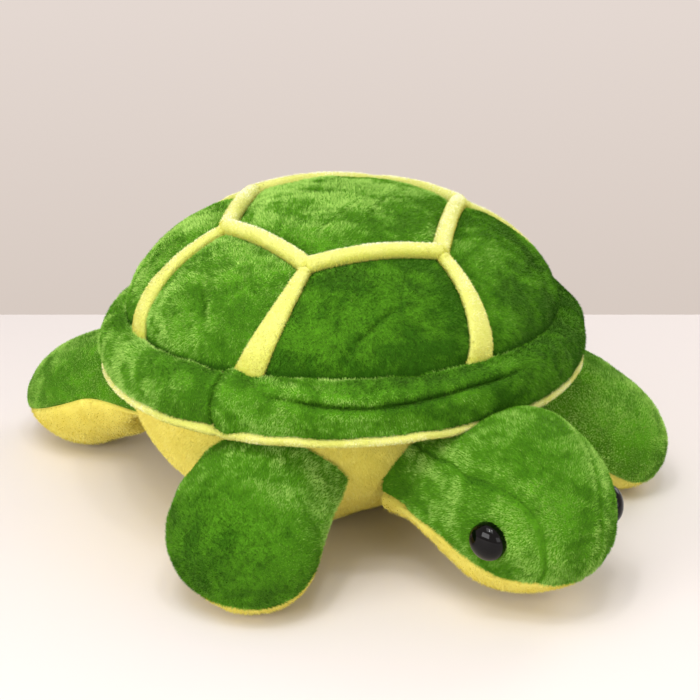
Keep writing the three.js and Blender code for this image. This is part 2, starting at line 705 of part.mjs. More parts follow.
function head() {
  const group = new THREE.Group();
  const distance = shoulderDistance(0, NECK_PIVOT_HEIGHT, NECK_RADIUS, NECK_WIDTH / 2);
  group.position.copy(polar(0, distance, NECK_PIVOT_HEIGHT));
  group.rotation.x = -rad(HEAD_LIFT);

  const { around, along } = HEAD_FACET_COUNTS;
  const hollow = toSolid(headBlob(CLOTH, around.fill, along.fill));
  const opened = hollow.add(hollow.translate([0, GAP, 0]));
  let cloth = toSolid(headBlob(0, around.skin, along.skin)).subtract(opened);
  let fill = toSolid(headBlob(CLOTH + FILL_CLEAR, around.fill, along.fill));
  const shankRoom = SHANK_DIAMETER / 2 + GAP;
  const washerRoom = WASHER_DIAMETER / 2 + GAP;
  for (const side of [-1, 1]) {
    const place = eyePlace(side);
    const hole = new THREE.CylinderGeometry(shankRoom, shankRoom, SHANK_LENGTH * 2, HOLE_FACET_COUNTS.shank);
    cloth = cloth.subtract(toSolid(placed(hole, place, 0)));
    const room = SHANK_LENGTH + GAP + CLOTH;
    const pocket = new THREE.CylinderGeometry(washerRoom, washerRoom, room, HOLE_FACET_COUNTS.washer);
    fill = fill.subtract(toSolid(placed(pocket, place, -room / 2)));
    const word = side < 0 ? 'right' : 'left';
    group.add(node(`eye_${word}`, placed(eyeGeometry(), place, EYE_CLEAR), COLOURS.eye, 0.05));
    const washer = placed(washerGeometry(), place, -CLOTH - WASHER_THICKNESS - WASHER_CLEAR);
    group.add(node(`eye_washer_${word}`, washer, COLOURS.washer, 0.4));
  }

  const under = throughHead(undersideOutline(0), true);
  const over = cloth.subtract(throughHead(undersideOutline(GAP), true));
  const strip = throughHead(gussetOutline(0), false);
  const wide = throughHead(gussetOutline(GAP), false);
  const sides = over.subtract(wide);
  const far = 2 * (HEAD_LENGTH + HEAD_WIDTH);
  const leftHalf = throughHead([[0, far], [0, -far], [far, -far], [far, far]], false);
  group.add(node('head_underside', fromSolid(cloth.intersect(under)), COLOURS.yellow));
  group.add(node('head_gusset', fromSolid(over.intersect(strip)), COLOURS.green));
  group.add(node('head_side_left', fromSolid(sides.intersect(leftHalf)), COLOURS.green));
  group.add(node('head_side_right', fromSolid(sides.subtract(leftHalf)), COLOURS.green));
  group.add(node('head_stuffing', fromSolid(fill), COLOURS.fill));
  return group;
}

// A short stuffed tail, green above and yellow below
function tailHalf(sign) {
  const surface = (shrink) => (u, v) => {
    const turn = lerp(-Math.PI / 2, Math.PI / 2, u);
    const out = lerp(-TAIL_SHOULDER_RADIUS * ROOT_SHARE, TAIL_LENGTH, v);
    const share = Math.max(out / TAIL_LENGTH, 0);
    const round = Math.sqrt(1 - share ** 2) * shrink;
    const shoulder = Math.sqrt(Math.max(TAIL_SHOULDER_RADIUS ** 2 - Math.min(out, 0) ** 2, 0));
    const thick = lerp(shoulder, TAIL_THICKNESS / 2, smooth(share * 2)) * round;
    const height = sign * (GAP / 2 + thick * Math.cos(turn));
    return new THREE.Vector3(TAIL_WIDTH / 2 * round * Math.sin(turn), out, height);
  };
  return clothGeometry(surface(1), (u, v) => {
    const point = surface(1)(u, v);
    return new THREE.Vector3(point.x, point.y, sign * GAP / 2);
  }, 8, 6);
}

function tail() {
  const group = new THREE.Group();
  const distance = shoulderDistance(Math.PI, TAIL_PIVOT_HEIGHT, TAIL_SHOULDER_RADIUS, TAIL_WIDTH / 2);
  group.position.copy(polar(Math.PI, distance, TAIL_PIVOT_HEIGHT));
  group.add(node('tail_top', tailHalf(1), COLOURS.green));
  group.add(node('tail_bottom', tailHalf(-1), COLOURS.yellow));
  return group;
}

const turtle = new THREE.Group();
turtle.add(node('shell_top_panel', topPanel(), COLOURS.green));
for (let i = 0; i < 6; i += 1) {
  turtle.add(node(`shell_side_panel_${i + 1}`, sidePanel(i), COLOURS.green));
  turtle.add(node(`hexagon_strip_${i + 1}`, hexagonStrip(i), COLOURS.strip));
  turtle.add(node(`rib_strip_${i + 1}`, ribStrip(i), COLOURS.strip));
}
turtle.add(...ringPieces(['rim_band_front', 'rim_band_rear'], rimSection(), RIM_JOINT_ANGLES, COLOURS.green));
turtle.add(...ringPieces(['rim_lip_right', 'rim_lip_left'], lipSection(), LIP_JOINT_ANGLES, COLOURS.strip));
turtle.add(node('shell_stuffing', shellStuffing(), COLOURS.fill));
turtle.add(node('body_side_wall', bodyWall(), COLOURS.yellow));
turtle.add(node('belly_panel', bellyPanel(), COLOURS.yellow));
turtle.add(node('body_stuffing', bodyStuffing(), COLOURS.fill));
turtle.add(flipper('flipper_front_right', FRONT_FLIPPER, FRONT_RIGHT_POSE, -1));
turtle.add(flipper('flipper_front_left', FRONT_FLIPPER, FRONT_LEFT_POSE, 1));
turtle.add(flipper('flipper_rear_right', REAR_FLIPPER, REAR_POSE, -1));
turtle.add(flipper('flipper_rear_left', REAR_FLIPPER, REAR_POSE, 1));
turtle.add(head());
turtle.add(tail());

export default turtle;
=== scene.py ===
"""A plush turtle: soft skins, strips, rim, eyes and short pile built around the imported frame.

Inside the functions sizes are in millimetres. The head points along -Y, the turtle's right side is
at -X, and angles round the shell are counted from the head towards the turtle's left.
"""

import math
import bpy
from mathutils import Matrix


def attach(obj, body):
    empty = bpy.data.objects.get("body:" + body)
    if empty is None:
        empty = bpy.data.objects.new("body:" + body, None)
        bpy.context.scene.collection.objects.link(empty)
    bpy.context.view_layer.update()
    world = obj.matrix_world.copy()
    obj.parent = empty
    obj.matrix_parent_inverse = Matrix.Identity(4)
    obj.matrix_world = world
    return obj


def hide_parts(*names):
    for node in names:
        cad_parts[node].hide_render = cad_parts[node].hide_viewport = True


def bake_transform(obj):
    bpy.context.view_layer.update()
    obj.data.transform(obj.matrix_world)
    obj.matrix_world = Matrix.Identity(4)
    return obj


bl_info = {
    "name": "Plush turtle",
    "version": (1, 0, 0),
    "blender": (4, 5, 0),
    "location": "3D View > Sidebar > Turtle",
    "description": "Builds a plush turtle with a padded shell, flippers, head and short pile",
    "category": "Object",
}

import bpy
import numpy as np
from bpy.props import FloatProperty, FloatVectorProperty, PointerProperty
from mathutils import Matrix, Vector

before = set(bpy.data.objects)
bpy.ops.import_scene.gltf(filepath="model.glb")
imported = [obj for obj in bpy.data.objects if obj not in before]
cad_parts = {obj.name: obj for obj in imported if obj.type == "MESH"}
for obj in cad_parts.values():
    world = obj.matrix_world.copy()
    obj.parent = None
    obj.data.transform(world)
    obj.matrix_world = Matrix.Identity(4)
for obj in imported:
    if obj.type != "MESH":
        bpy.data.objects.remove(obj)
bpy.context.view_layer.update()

MM = 0.001
BODY = "shell_and_body"
TURN = 2 * math.pi


def linear(hex_colour):
    """sRGB hex text to linear: v / 12.92 when v is small, else ((v + 0.055) / 1.055)^2.4."""
    values = [int(hex_colour[i:i + 2], 16) / 255 for i in (1, 3, 5)]
    shades = (v / 12.92 if v <= 0.04045 else ((v + 0.055) / 1.055) ** 2.4 for v in values)
    return (*shades, 1.0)


# ---------------------------------------------------------------- settings

class TurtleSizes(bpy.types.PropertyGroup):
    """Sizes of the turtle's soft forms, as in the solids they dress."""

    shell_radius: FloatProperty(
        name="Shell radius", description="Radius of the dome at its foot", default=0.150,
        unit="LENGTH")
    dome_rise: FloatProperty(
        name="Dome rise", description="Height of the dome above its own centre", default=0.088,
        unit="LENGTH")
    rim_radius: FloatProperty(
        name="Rim radius", description="Outer radius of the rolled rim", default=0.165,
        unit="LENGTH")
    hexagon_radius: FloatProperty(
        name="Hexagon radius", description="Mean radius of the hexagon of strips", default=0.087,
        unit="LENGTH")
    hexagon_roll: FloatProperty(
        name="Hexagon roll width", description="Width of the roll round the top panel",
        default=0.0104, unit="LENGTH")
    rib_foot: FloatProperty(
        name="Rib foot width", description="Width of a rib where it meets the rim", default=0.0205,
        unit="LENGTH")
    lip_width: FloatProperty(
        name="Lip width", description="Width of the lip sewn under the rim", default=0.020,
        unit="LENGTH")
    body_radius: FloatProperty(
        name="Body radius", description="Radius of the bowl under the shell", default=0.148,
        unit="LENGTH")
    body_height: FloatProperty(
        name="Body height", description="Height of the bowl", default=0.104, unit="LENGTH")
    head_length: FloatProperty(
        name="Head length", description="From the neck's pivot to the nose", default=0.121,
        unit="LENGTH")
    head_width: FloatProperty(
        name="Head width", description="Width of the head over the cheeks", default=0.106,
        unit="LENGTH")
    eye_radius: FloatProperty(
        name="Eye radius", description="Radius of a safety eye", default=0.0122, unit="LENGTH")
    tail_length: FloatProperty(
        name="Tail length", description="Length of the tail outside the body", default=0.030,
        unit="LENGTH")
    shell_lean: FloatProperty(
        name="Shell lean", description="How far the shell leans back", default=math.radians(1.5),
        subtype="ANGLE")


class TurtlePile(bpy.types.PropertyGroup):
    """Length and density of the pile, and how unevenly it is brushed."""

    green_length: FloatProperty(
        name="Green pile", description="Length of the green pile", default=0.0024, unit="LENGTH")
    yellow_length: FloatProperty(
        name="Yellow pile", description="Length of the yellow pile", default=0.0024, unit="LENGTH")
    strip_length: FloatProperty(
        name="Strip pile", description="Length of the pile on strips and lip", default=0.0015,
        unit="LENGTH")
    green_density: FloatProperty(
        name="Green tufts", description="Tufts on a square centimetre of green cloth", default=220)
    yellow_density: FloatProperty(
        name="Yellow tufts", description="Tufts on a square centimetre of yellow cloth",
        default=95)
    strip_density: FloatProperty(
        name="Strip tufts", description="Tufts on a square centimetre of strip", default=200)
    tuft_width: FloatProperty(
        name="Tuft width", description="Width of a tuft at its root", default=0.00044,
        unit="LENGTH")
    brushing: FloatProperty(
        name="Brushing", description="How far brushed patches differ, as a share of all shades",
        default=0.38, subtype="FACTOR")


class TurtleColours(bpy.types.PropertyGroup):
    """Colours of cloth, pile, eyes and stage."""

    green_dark: FloatVectorProperty(
        name="Green, deep", description="Green pile seen against its lay",
        default=linear("#2c5c04"), size=4, subtype="COLOR")
    green_middle: FloatVectorProperty(
        name="Green, middle", description="Green pile as dyed", default=linear("#5c9a1b"), size=4,
        subtype="COLOR")
    green_light: FloatVectorProperty(
        name="Green, light", description="Green pile along its lay", default=linear("#b9df70"),
        size=4, subtype="COLOR")
    # Darker than the pile: partly the backing's own colour, partly painted shade for the shadow
    # between the tufts
    green_backing: FloatVectorProperty(
        name="Green backing", description="Knitted cloth under the green pile",
        default=linear("#2c5c08"), size=4, subtype="COLOR")
    yellow_dark: FloatVectorProperty(
        name="Yellow, deep", description="Yellow pile seen against its lay",
        default=linear("#e3d45c"), size=4, subtype="COLOR")
    yellow_middle: FloatVectorProperty(
        name="Yellow, middle", description="Yellow pile as dyed", default=linear("#f0e473"),
        size=4, subtype="COLOR")
    yellow_light: FloatVectorProperty(
        name="Yellow, light", description="Yellow pile along its lay", default=linear("#fbf5a4"),
        size=4, subtype="COLOR")
    # Darker than the pile: partly the backing's own colour, partly painted shade for the shadow
    # between the tufts
    yellow_backing: FloatVectorProperty(
        name="Yellow backing", description="Knitted cloth under the yellow pile",
        default=linear("#dccb52"), size=4, subtype="COLOR")
    strip_dark: FloatVectorProperty(
        name="Strip, deep", description="Strip pile seen against its lay",
        default=linear("#cdc653"), size=4, subtype="COLOR")
    strip_middle: FloatVectorProperty(
        name="Strip, middle", description="Strip pile as dyed", default=linear("#e5e48a"), size=4,
        subtype="COLOR")
    strip_light: FloatVectorProperty(
        name="Strip, light", description="Strip pile along its lay", default=linear("#fbf9d8"),
        size=4, subtype="COLOR")
    # Darker than the pile: partly the backing's own colour, partly painted shade for the shadow
    # between the tufts
    strip_backing: FloatVectorProperty(
        name="Strip backing", description="Knitted cloth under the strip pile",
        default=linear("#c9cc52"), size=4, subtype="COLOR")
    eye: FloatVectorProperty(
        name="Eye", description="Gloss plastic of the eyes", default=linear("#020203"), size=4,
        subtype="COLOR")
    table: FloatVectorProperty(
        name="Table", description="Pale table that the turtle stands on",
        default=linear("#e8dfdb"), size=4, subtype="COLOR")
    wall_low: FloatVectorProperty(
        name="Wall, low", description="Wall colour near the table", default=linear("#d6c9c0"),
        size=4, subtype="COLOR")
    wall_high: FloatVectorProperty(
        name="Wall, high", description="Wall colour higher up", default=linear("#e4d8d1"), size=4,
        subtype="COLOR")


def size(name):
    """One of the turtle's sizes, in millimetres."""
    return getattr(bpy.context.scene.turtle_sizes, name) / MM


def pile_setting(name):
    """One of the pile's settings."""
    return getattr(bpy.context.scene.turtle_pile, name)


def colour_of(name):
    """One of the turtle's colours, linear with alpha."""
    return tuple(getattr(bpy.context.scene.turtle_colours, name))


# ---------------------------------------------------------------- shape functions

# Random values that the noise is mixed from: a cube of cells with four channels in each
LATTICE_SIDE, LATTICE_CHANNELS, LATTICE_SEED = 24, 4, 3
LATTICE = np.random.default_rng(LATTICE_SEED).uniform(
    -1, 1, (LATTICE_SIDE, LATTICE_SIDE, LATTICE_SIDE, LATTICE_CHANNELS))
# Keeps the noise's lattice clear of places where many coordinates are 0
NOISE_OFFSET = 100.37
# Rows and columns of each surface's grid
GRIDS = {
    "shell": (150, 521), "strip": (90, 25), "rim": (1261, 61), "lip": (541, 25), "body": (120, 361),
    "flipper": (110, 161), "head": (240, 361), "eye": (26, 65), "tail": (50, 81),
}
# Distance in mm given to places with no seam near them
NO_SEAM = 100.0


def lerp(a, b, t):
    """Straight mix of a and b at share t."""
    return a + (b - a) * t


def smooth(t):
    """Smooth step, 3t^2 - 2t^3 between 0 and 1."""
    t = np.clip(t, 0, 1)
    return t * t * (3 - 2 * t)


def bell(x, width):
    """Bell curve exp(-(x / width)^2)."""
    return np.exp(-((x / width) ** 2))


def nose(share, start):
    """Rounds a limb off: 1 up to start, then an ellipse falling to 0 at share 1."""
    t = np.clip((share - start) / (1 - start), 0, 1)
    return np.sqrt(1 - t * t)


def unit(a):
    """Vectors divided by their length."""
    return a / np.maximum(np.linalg.norm(a, axis=-1, keepdims=True), 1e-9)


def noise(p, scale, channel=0):
    """Value noise: smooth mix of the eight lattice values round p / scale, -1 to 1."""
    q = p / scale + NOISE_OFFSET
    base = np.floor(q).astype(int)
    t = smooth(q - base)
    total = 0
    for step in np.ndindex(2, 2, 2):
        cell = (base + step) % LATTICE_SIDE
        weight = np.prod(np.where(step, t, 1 - t), axis=-1)
        total = total + weight * LATTICE[cell[..., 0], cell[..., 1], cell[..., 2], channel]
    return total


def polar(angle, radius, height):
    """Point at an angle from the head, a radius and a height: (r sin a, -r cos a, h)."""
    angle, radius, height = np.broadcast_arrays(angle, radius, height)
    return np.stack([radius * np.sin(angle), -radius * np.cos(angle), height], -1).astype(float)


def grid(rows, columns):
    """Shares u along columns and v along rows, both 0 to 1, as two arrays."""
    v, u = np.meshgrid(np.linspace(0, 1, rows), np.linspace(0, 1, columns), indexing="ij")
    return u, v


def centres(values):
    """Mean of the four corners of each cell of a grid."""
    return (values[:-1, :-1] + values[1:, 1:] + values[:-1, 1:] + values[1:, :-1]) / 4


def crowded(v):
    """Shares that crowd together at both ends, where a form rounds off: (1 - cos(pi v^0.9)) / 2."""
    return (1 - np.cos(np.pi * v ** 0.9)) / 2


def closed_curve(points, count):
    """Catmull-Rom curve through the points, closed, at count even shares."""
    points = np.asarray(points, float)
    t = np.linspace(0, len(points), count)
    i = np.floor(t).astype(int)
    f = (t - i)[:, None]
    p0, p1, p2, p3 = (points[(i + k) % len(points)] for k in (-1, 0, 1, 2))
    return 0.5 * (2 * p1 + (p2 - p0) * f + (2 * p0 - 5 * p1 + 4 * p2 - p3) * f ** 2
                  + (3 * p1 - p0 - 3 * p2 + p3) * f ** 3)


# ---------------------------------------------------------------- meshes from grids

class Skin:
    """A surface as points, four-cornered faces (a triangle repeats its last corner) and normals.
    Each point also knows its distance to the nearest seam and how much its pile is made lighter
    or darker, mostly by painted light and shade. Patchy is how strongly the brushing shows."""

    def __init__(self, points, away_from, wrap=True, first_pole=False, last_pole=False):
        """Grid of points to faces that point away from a middle: one point, or one for each row.
        Wrap joins the last column to the first, and a pole draws its row together."""
        rows, columns = points.shape[:2]
        index = np.arange(rows * columns).reshape(rows, columns)
        if wrap:
            index[:, -1] = index[:, 0]
        if first_pole:
            index[0] = index[0, 0]
        if last_pole:
            index[-1] = index[-1, 0]
        faces = np.stack([index[:-1, :-1], index[:-1, 1:], index[1:, 1:], index[1:, :-1]], -1)
        self.points = points.reshape(-1, 3)
        self.faces = faces.reshape(-1, 4)
        self.seam = np.full(len(self.points), NO_SEAM)
        self.tone = np.zeros(len(self.points))
        self.patchy = 1.0
        u, v = grid(rows, columns)
        self.uv = np.stack([u, v], -1).reshape(-1, 2)
        self.normals = self.vertex_normals()
        if ((points - away_from).reshape(-1, 3) * self.normals).sum() < 0:
            self.faces = self.faces[:, ::-1]
            self.normals = -self.normals

    def vertex_normals(self):
        """Area-weighted mean of the normals of the faces round each point."""
        a, b, c, d = (self.points[self.faces[:, k]] for k in range(4))
        across = np.cross(c - a, d - b)
        total = np.zeros_like(self.points)
        for k in range(4):
            np.add.at(total, self.faces[:, k], across)
        return unit(total)

    def part(self, keep):
        """The same skin with only the faces where keep is true."""
        other = object.__new__(Skin)
        other.__dict__.update(self.__dict__)
        other.faces = self.faces[keep.reshape(-1)]
        return other


def build_mesh(name, points, faces):
    """A mesh object from points in mm and faces of corners. Equal neighbouring corners merge."""
    used, compact = np.unique(faces, return_inverse=True)
    compact = compact.reshape(faces.shape)
    mesh = bpy.data.meshes.new(name)
    mesh.vertices.add(len(used))
    mesh.vertices.foreach_set("co", (points[used] * MM).astype(np.float32).ravel())
    keep = compact != np.roll(compact, 1, axis=1)
    sizes = keep.sum(1)
    compact, keep, sizes = compact[sizes > 2], keep[sizes > 2], sizes[sizes > 2]
    loops = compact[keep]
    mesh.loops.add(len(loops))
    mesh.loops.foreach_set("vertex_index", loops.astype(np.int32))
    mesh.polygons.add(len(sizes))
    starts = np.concatenate([[0], np.cumsum(sizes)[:-1]])
    mesh.polygons.foreach_set("loop_start", starts.astype(np.int32))
    mesh.update(calc_edges=True)
    mesh.polygons.foreach_set("use_smooth", np.ones(len(sizes), bool))
    piece = bpy.data.objects.new(name, mesh)
    bpy.context.scene.collection.objects.link(piece)
    return piece, used, loops


def skin_object(name, skin, material):
    """A skin as an object with its own UV map for baking, and its brushing with painted light and
    shade per point.
    """
    piece, used, loops = build_mesh(name, skin.points, skin.faces)
    layer = piece.data.uv_layers.new(name="OFBake")
    layer.data.foreach_set("uv", skin.uv[used][loops].astype(np.float32).ravel())
    attribute = piece.data.attributes.new("nap", "FLOAT", "POINT")
    # Brushing plus painted light and shade, which the backing's colour follows
    nap = skin.patchy * brushing(skin.points[used]) + 2 * skin.tone[used]
    attribute.data.foreach_set("value", nap.astype(np.float32))
    piece.data.materials.append(material)
    return piece


# How far and how broadly, in mm, the patches of brushing are pushed out of shape
BRUSH_PUSH, BRUSH_PUSH_SIZE = 10, 31
# Share and size in mm of the brushing's three sizes of patch and of its fine streaks
BRUSH_BROAD, BRUSH_MIDDLE, BRUSH_SMALL, BRUSH_FINE = (0.65, 36), (0.8, 14), (0.6, 6), (0.35, 2.6)
BRUSH_HARDNESS = 2.2


def brushing(points):
    """How the pile is brushed: value noise at four sizes, its places pushed about by more noise,
    mixed and drawn towards -1 and 1 by a hyperbolic tangent."""
    pushed = np.stack([noise(points, BRUSH_PUSH_SIZE, k) for k in (1, 2, 3)], -1)
    bent = points + BRUSH_PUSH * pushed

    def layer(places, share_and_size, channel):
        share, width = share_and_size
        return share * noise(places, width, channel)

    broad = layer(bent, BRUSH_BROAD, 0) + layer(bent, BRUSH_MIDDLE, 1)
    fine = layer(points, BRUSH_FINE, 3)
    return np.tanh(BRUSH_HARDNESS * (broad + layer(bent, BRUSH_SMALL, 2) + fine))


# ---------------------------------------------------------------- materials

# How many shades the tufts of each kind of cloth have
SHADE_COUNTS = {"green": 9, "yellow": 5, "strip": 5}
# Grains of the backing in a metre, 0.9 mm each, and the bump's height in metres
BACKING_GRAIN, BACKING_BUMP = 1100.0, 0.0006
# How much lighter the backing is where the pile is brushed up or painted light falls, and its own
# lightest shade
BACKING_LIFT, BACKING_LIGHT = 0.3, 0.45


def add_node(tree, kind, links=(), **settings):
    """Adds a node, sets its inputs by name and links (from socket, input name) pairs."""
    node = tree.nodes.new(kind)
    for key, value in settings.items():
        if key in node.inputs:
            node.inputs[key].default_value = value
        else:
            setattr(node, key, value)
    for socket, name in links:
        tree.links.new(socket, node.inputs[name])
    return node


def new_material(name):
    """An empty node material."""
    material = bpy.data.materials.new(name)
    material.use_nodes = True
    material.node_tree.nodes.clear()
    return material, material.node_tree


def surface(tree, colour, **settings):
    """Principled surface wired to the output, its colour a constant or a socket."""
    shader = add_node(tree, "ShaderNodeBsdfPrincipled", **settings)
    if isinstance(colour, tuple):
        shader.inputs["Base Color"].default_value = colour
    else:
        tree.links.new(colour, shader.inputs["Base Color"])
    add_node(tree, "ShaderNodeOutputMaterial", [(shader.outputs[0], "Surface")])
    return shader


def shade_of(family, share):
    """Colour of a tuft: dark to middle to light along the share, by straight mixes."""
    names = (f"{family}_dark", f"{family}_middle", f"{family}_light")
    dark, middle, light = (np.array(colour_of(name)) for name in names)
    mixed = lerp(dark, middle, share * 2) if share < 0.5 else lerp(middle, light, share * 2 - 1)
    return tuple(mixed)


def pile_materials(family):
    """Short-pile polyester plush. Its drawn, dyed fibres are matt with a soft sheen at their edges,
    and each tuft is one shade, so that brushed patches show light and dark as real nap does; the
    shades also carry painted light and shade."""
    made = []
    count = SHADE_COUNTS[family]
    for k in range(count):
        name = f"short-pile polyester plush, {family} tuft {k + 1}"
        material = bpy.data.materials.get(name)
        if material is None:
            material, tree = new_material(name)
            finish = {"Roughness": 0.85, "Sheen Weight": 0.35, "Sheen Roughness": 0.4,
                      "Specular IOR Level": 0.1, "Sheen Tint": shade_of(family, 1)}
            surface(tree, shade_of(family, k / (count - 1)), **finish)
        made.append(material)
    return made


def backing_material(family):
    """Knitted polyester backing under the pile: matt, its own colour darkened by painted shade for
    the shadow between the tufts, which makes the pile look deep, with a grain drawn coarser than
    the knit so that it shows. It follows the skin's brushing and painted light and shade."""
    name = f"knitted polyester backing, {family}"
    material = bpy.data.materials.get(name)
    if material is not None:
        return material
    material, tree = new_material(name)
    nap = add_node(tree, "ShaderNodeAttribute", attribute_name="nap")
    place = add_node(tree, "ShaderNodeTexCoord")
    grain = add_node(tree, "ShaderNodeTexNoise", [(place.outputs["Object"], "Vector")],
                     Scale=BACKING_GRAIN, Detail=2.0)
    lift = add_node(tree, "ShaderNodeMath", [(nap.outputs["Fac"], 0), (grain.outputs["Fac"], 2)],
                    operation="MULTIPLY_ADD")
    lift.inputs[1].default_value = BACKING_LIFT
    mixed = add_node(tree, "ShaderNodeMix", [(lift.outputs[0], "Factor")], data_type="RGBA")
    mixed.inputs[6].default_value = colour_of(f"{family}_backing")
    mixed.inputs[7].default_value = shade_of(family, BACKING_LIGHT)
    bump = add_node(tree, "ShaderNodeBump", [(grain.outputs["Fac"], "Height")], Strength=0.6,
                    Distance=BACKING_BUMP)
    finish = {"Roughness": 0.95, "Sheen Weight": 0.3, "Sheen Roughness": 0.5,
              "Specular IOR Level": 0.1, "Sheen Tint": shade_of(family, 1)}
    shader = surface(tree, mixed.outputs[2], **finish)
    tree.links.new(bump.outputs[0], shader.inputs["Normal"])
    return material


def eye_material():
    """Moulded acrylic safety eye: polished, so it mirrors lamps and table over near-black."""
    material, tree = new_material("moulded gloss acrylic, black")
    finish = {"Roughness": 0.035, "IOR": 1.49, "Specular IOR Level": 0.24}
    surface(tree, colour_of("eye"), **finish)
    return material


def table_material():
    """Matt laminate table top: pale, with a weak broad gloss that softens the shadows."""
    material, tree = new_material("matt laminate table top")
    finish = {"Roughness": 0.5, "Specular IOR Level": 0.08}
    surface(tree, colour_of("table"), **finish)
    return material


# ---------------------------------------------------------------- pile

# For each kind of cloth: share of the brushing and painted light that shows, how much its locks
# differ in shade, how messy the lay is, how steep tufts stand in radians, and the width of the
# painted shade beside a seam
HABITS = {
    "green": dict(contrast=1.3, locks=0.15, mess=0.9, steep=0.95, seam=2.2),
    "yellow": dict(contrast=0.6, locks=0.12, mess=0.9, steep=0.95, seam=1.9),
    "strip": dict(contrast=0.9, locks=0.15, mess=0.9, steep=0.95, seam=1.5),
}
# Width in mm of the locks that short pile clings together in, and how far they and chance turn it
LOCK_SIZE, LOCK_PULL, STRAY = 1.1, 0.6, 0.24
# Size in mm of the swirls that the lay turns in
SWIRL_SIZE = 24
# How far brushing and chance change the steepness, and its least and greatest value, in radians
NAP_STEEPER, STRAY_STEEPER, LEAST_STEEP, UPRIGHT = 0.22, 0.15, 0.35, 1.5
# Shortest and longest tuft as a share of the pile's length, and that share beside a seam
SHORTEST, LONGEST, SEAM_LENGTH = 0.65, 1.15, 0.3
# How deep in mm a tuft starts under the cloth
ROOT_DEPTH = 0.25
# Shade of the tufts: the middle, chance, and the painted shade beside a seam, broken into steps of
# 3 mm
MIDDLE_SHADE, STRAY_SHADE, SEAM_SHADE, STITCH_SHADE, STITCH_SIZE = 0.46, 0.09, 0.68, 0.25, 3.0


def even_roots(skin, per_square_cm, rng):
    """Places spread evenly over a skin: a triangle picked by its area, then a uniform point in it.
    Returns the corners' indices and weights."""
    a, b, c, d = (skin.points[skin.faces[:, k]] for k in range(4))
    first = np.linalg.norm(np.cross(b - a, c - a), axis=1) / 2
    second = np.linalg.norm(np.cross(c - a, d - a), axis=1) / 2
    areas = np.concatenate([first, second])
    count = int(areas.sum() / 100 * per_square_cm)
    pick = np.searchsorted(np.cumsum(areas) / areas.sum(), rng.uniform(0, 1, count))
    pick = np.minimum(pick, len(areas) - 1)
    faces = skin.faces[pick % len(skin.faces)]
    upper = (pick >= len(skin.faces))[:, None]
    corners = np.where(upper, faces[:, [0, 2, 3]], faces[:, [0, 1, 2]])
    r = rng.uniform(0, 1, (2, count))
    r[:, r.sum(0) > 1] = 1 - r[:, r.sum(0) > 1]
    return corners, np.stack([1 - r.sum(0), r[0], r[1]], -1)


def pile_object(name, skin, family, lay):
    """Short pile: flat triangles rooted evenly over the skin. Each leans along the lay projected on
    the skin, turned by noise and twisted about its own length, and takes its shade from brushing,
    from the skin's painted light and shade, and from chance. Beside a seam the pile is short and
    darkened by painted shade, in small steps like stitches."""
    rng = np.random.default_rng(sum(name.encode()))
    habit = HABITS[family]
    density = pile_setting(f"{family}_density")
    width = pile_setting("tuft_width") / MM
    corners, weights = even_roots(skin, density, rng)
    count = len(corners)

    def at_roots(values):
        shaped = weights if values.ndim == 1 else weights[..., None]
        return (values[corners] * shaped).sum(1)

    root, normal = at_roots(skin.points), unit(at_roots(skin.normals))
    swirl = np.stack([noise(root, SWIRL_SIZE, k) for k in range(3)], -1)
    lock = np.stack([noise(root, LOCK_SIZE, k) for k in range(4)], -1)
    way = np.asarray(lay, float) + habit["mess"] * swirl + LOCK_PULL * lock[:, :3]
    way = way + rng.normal(0, STRAY, (count, 3))
    way = unit(way - (way * normal).sum(-1, keepdims=True) * normal)
    nap = brushing(root)
    beside = 1 - smooth(at_roots(skin.seam) / habit["seam"])
    steep = habit["steep"] + NAP_STEEPER * nap + rng.normal(0, STRAY_STEEPER, count)
    steep = lerp(np.clip(steep, LEAST_STEEP, UPRIGHT), UPRIGHT, beside)[:, None]
    pointing = normal * np.sin(steep) + way * np.cos(steep)
    across = np.cross(normal, way)
    twist = rng.uniform(-1, 1, count)[:, None]
    side = across * np.cos(twist) + np.cross(pointing, across) * np.sin(twist)
    length = pile_setting(f"{family}_length") / MM
    tall = (length * rng.uniform(SHORTEST, LONGEST, count) * lerp(1, SEAM_LENGTH, beside))[:, None]
    start = root - normal * ROOT_DEPTH
    half = side * width / 2
    triangles = np.stack([start - half, start + half, start + pointing * tall], 1)
    triangles[..., 2] = np.maximum(triangles[..., 2], 0)
    index = np.arange(count * 3).reshape(count, 3)
    piece, _, _ = build_mesh(name, triangles.reshape(-1, 3), index)
    piece.data.polygons.foreach_set("use_smooth", np.zeros(count, bool))
    materials = pile_materials(family)
    for material in materials:
        piece.data.materials.append(material)
    # Painted shade in the pile beside a seam, broken by noise into steps like stitches
    painted_seam_shade = SEAM_SHADE + STITCH_SHADE * noise(root, STITCH_SIZE, 2)
    brushed = skin.patchy * pile_setting("brushing") / 2 * nap
    level = (MIDDLE_SHADE + habit["contrast"] * (brushed + at_roots(skin.tone))
             + habit["locks"] * lock[:, 3] - painted_seam_shade * beside + rng.normal(0, STRAY_SHADE, count))
    shades = np.clip((level * len(materials)).astype(int), 0, len(materials) - 1)
    piece.data.polygons.foreach_set("material_index", shades.astype(np.int32))
    piece.data.update()
    return piece


def dress(name, skin, family, nodes, ride, lay):
    """Makes a skin and its pile, lets both ride and hides the solids they stand for."""
    cloth = skin_object(name, skin, backing_material(family))
    pile = pile_object(f"{name}_pile", skin, family, lay)
    for piece in (cloth, pile):
        ride(piece)
    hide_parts(*nodes)


def on_body(piece):
    """Lets a piece ride on the shell and body."""
    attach(piece, BODY)


# How strongly the brushing shows on flippers and head, and on strips
LIMB_PATCHY, STRIP_PATCHY = 0.85, 0.5
DOWN = (0.0, 0.0, -1.0)
SHELL_LAY = (0.3, -0.2, -1.0)
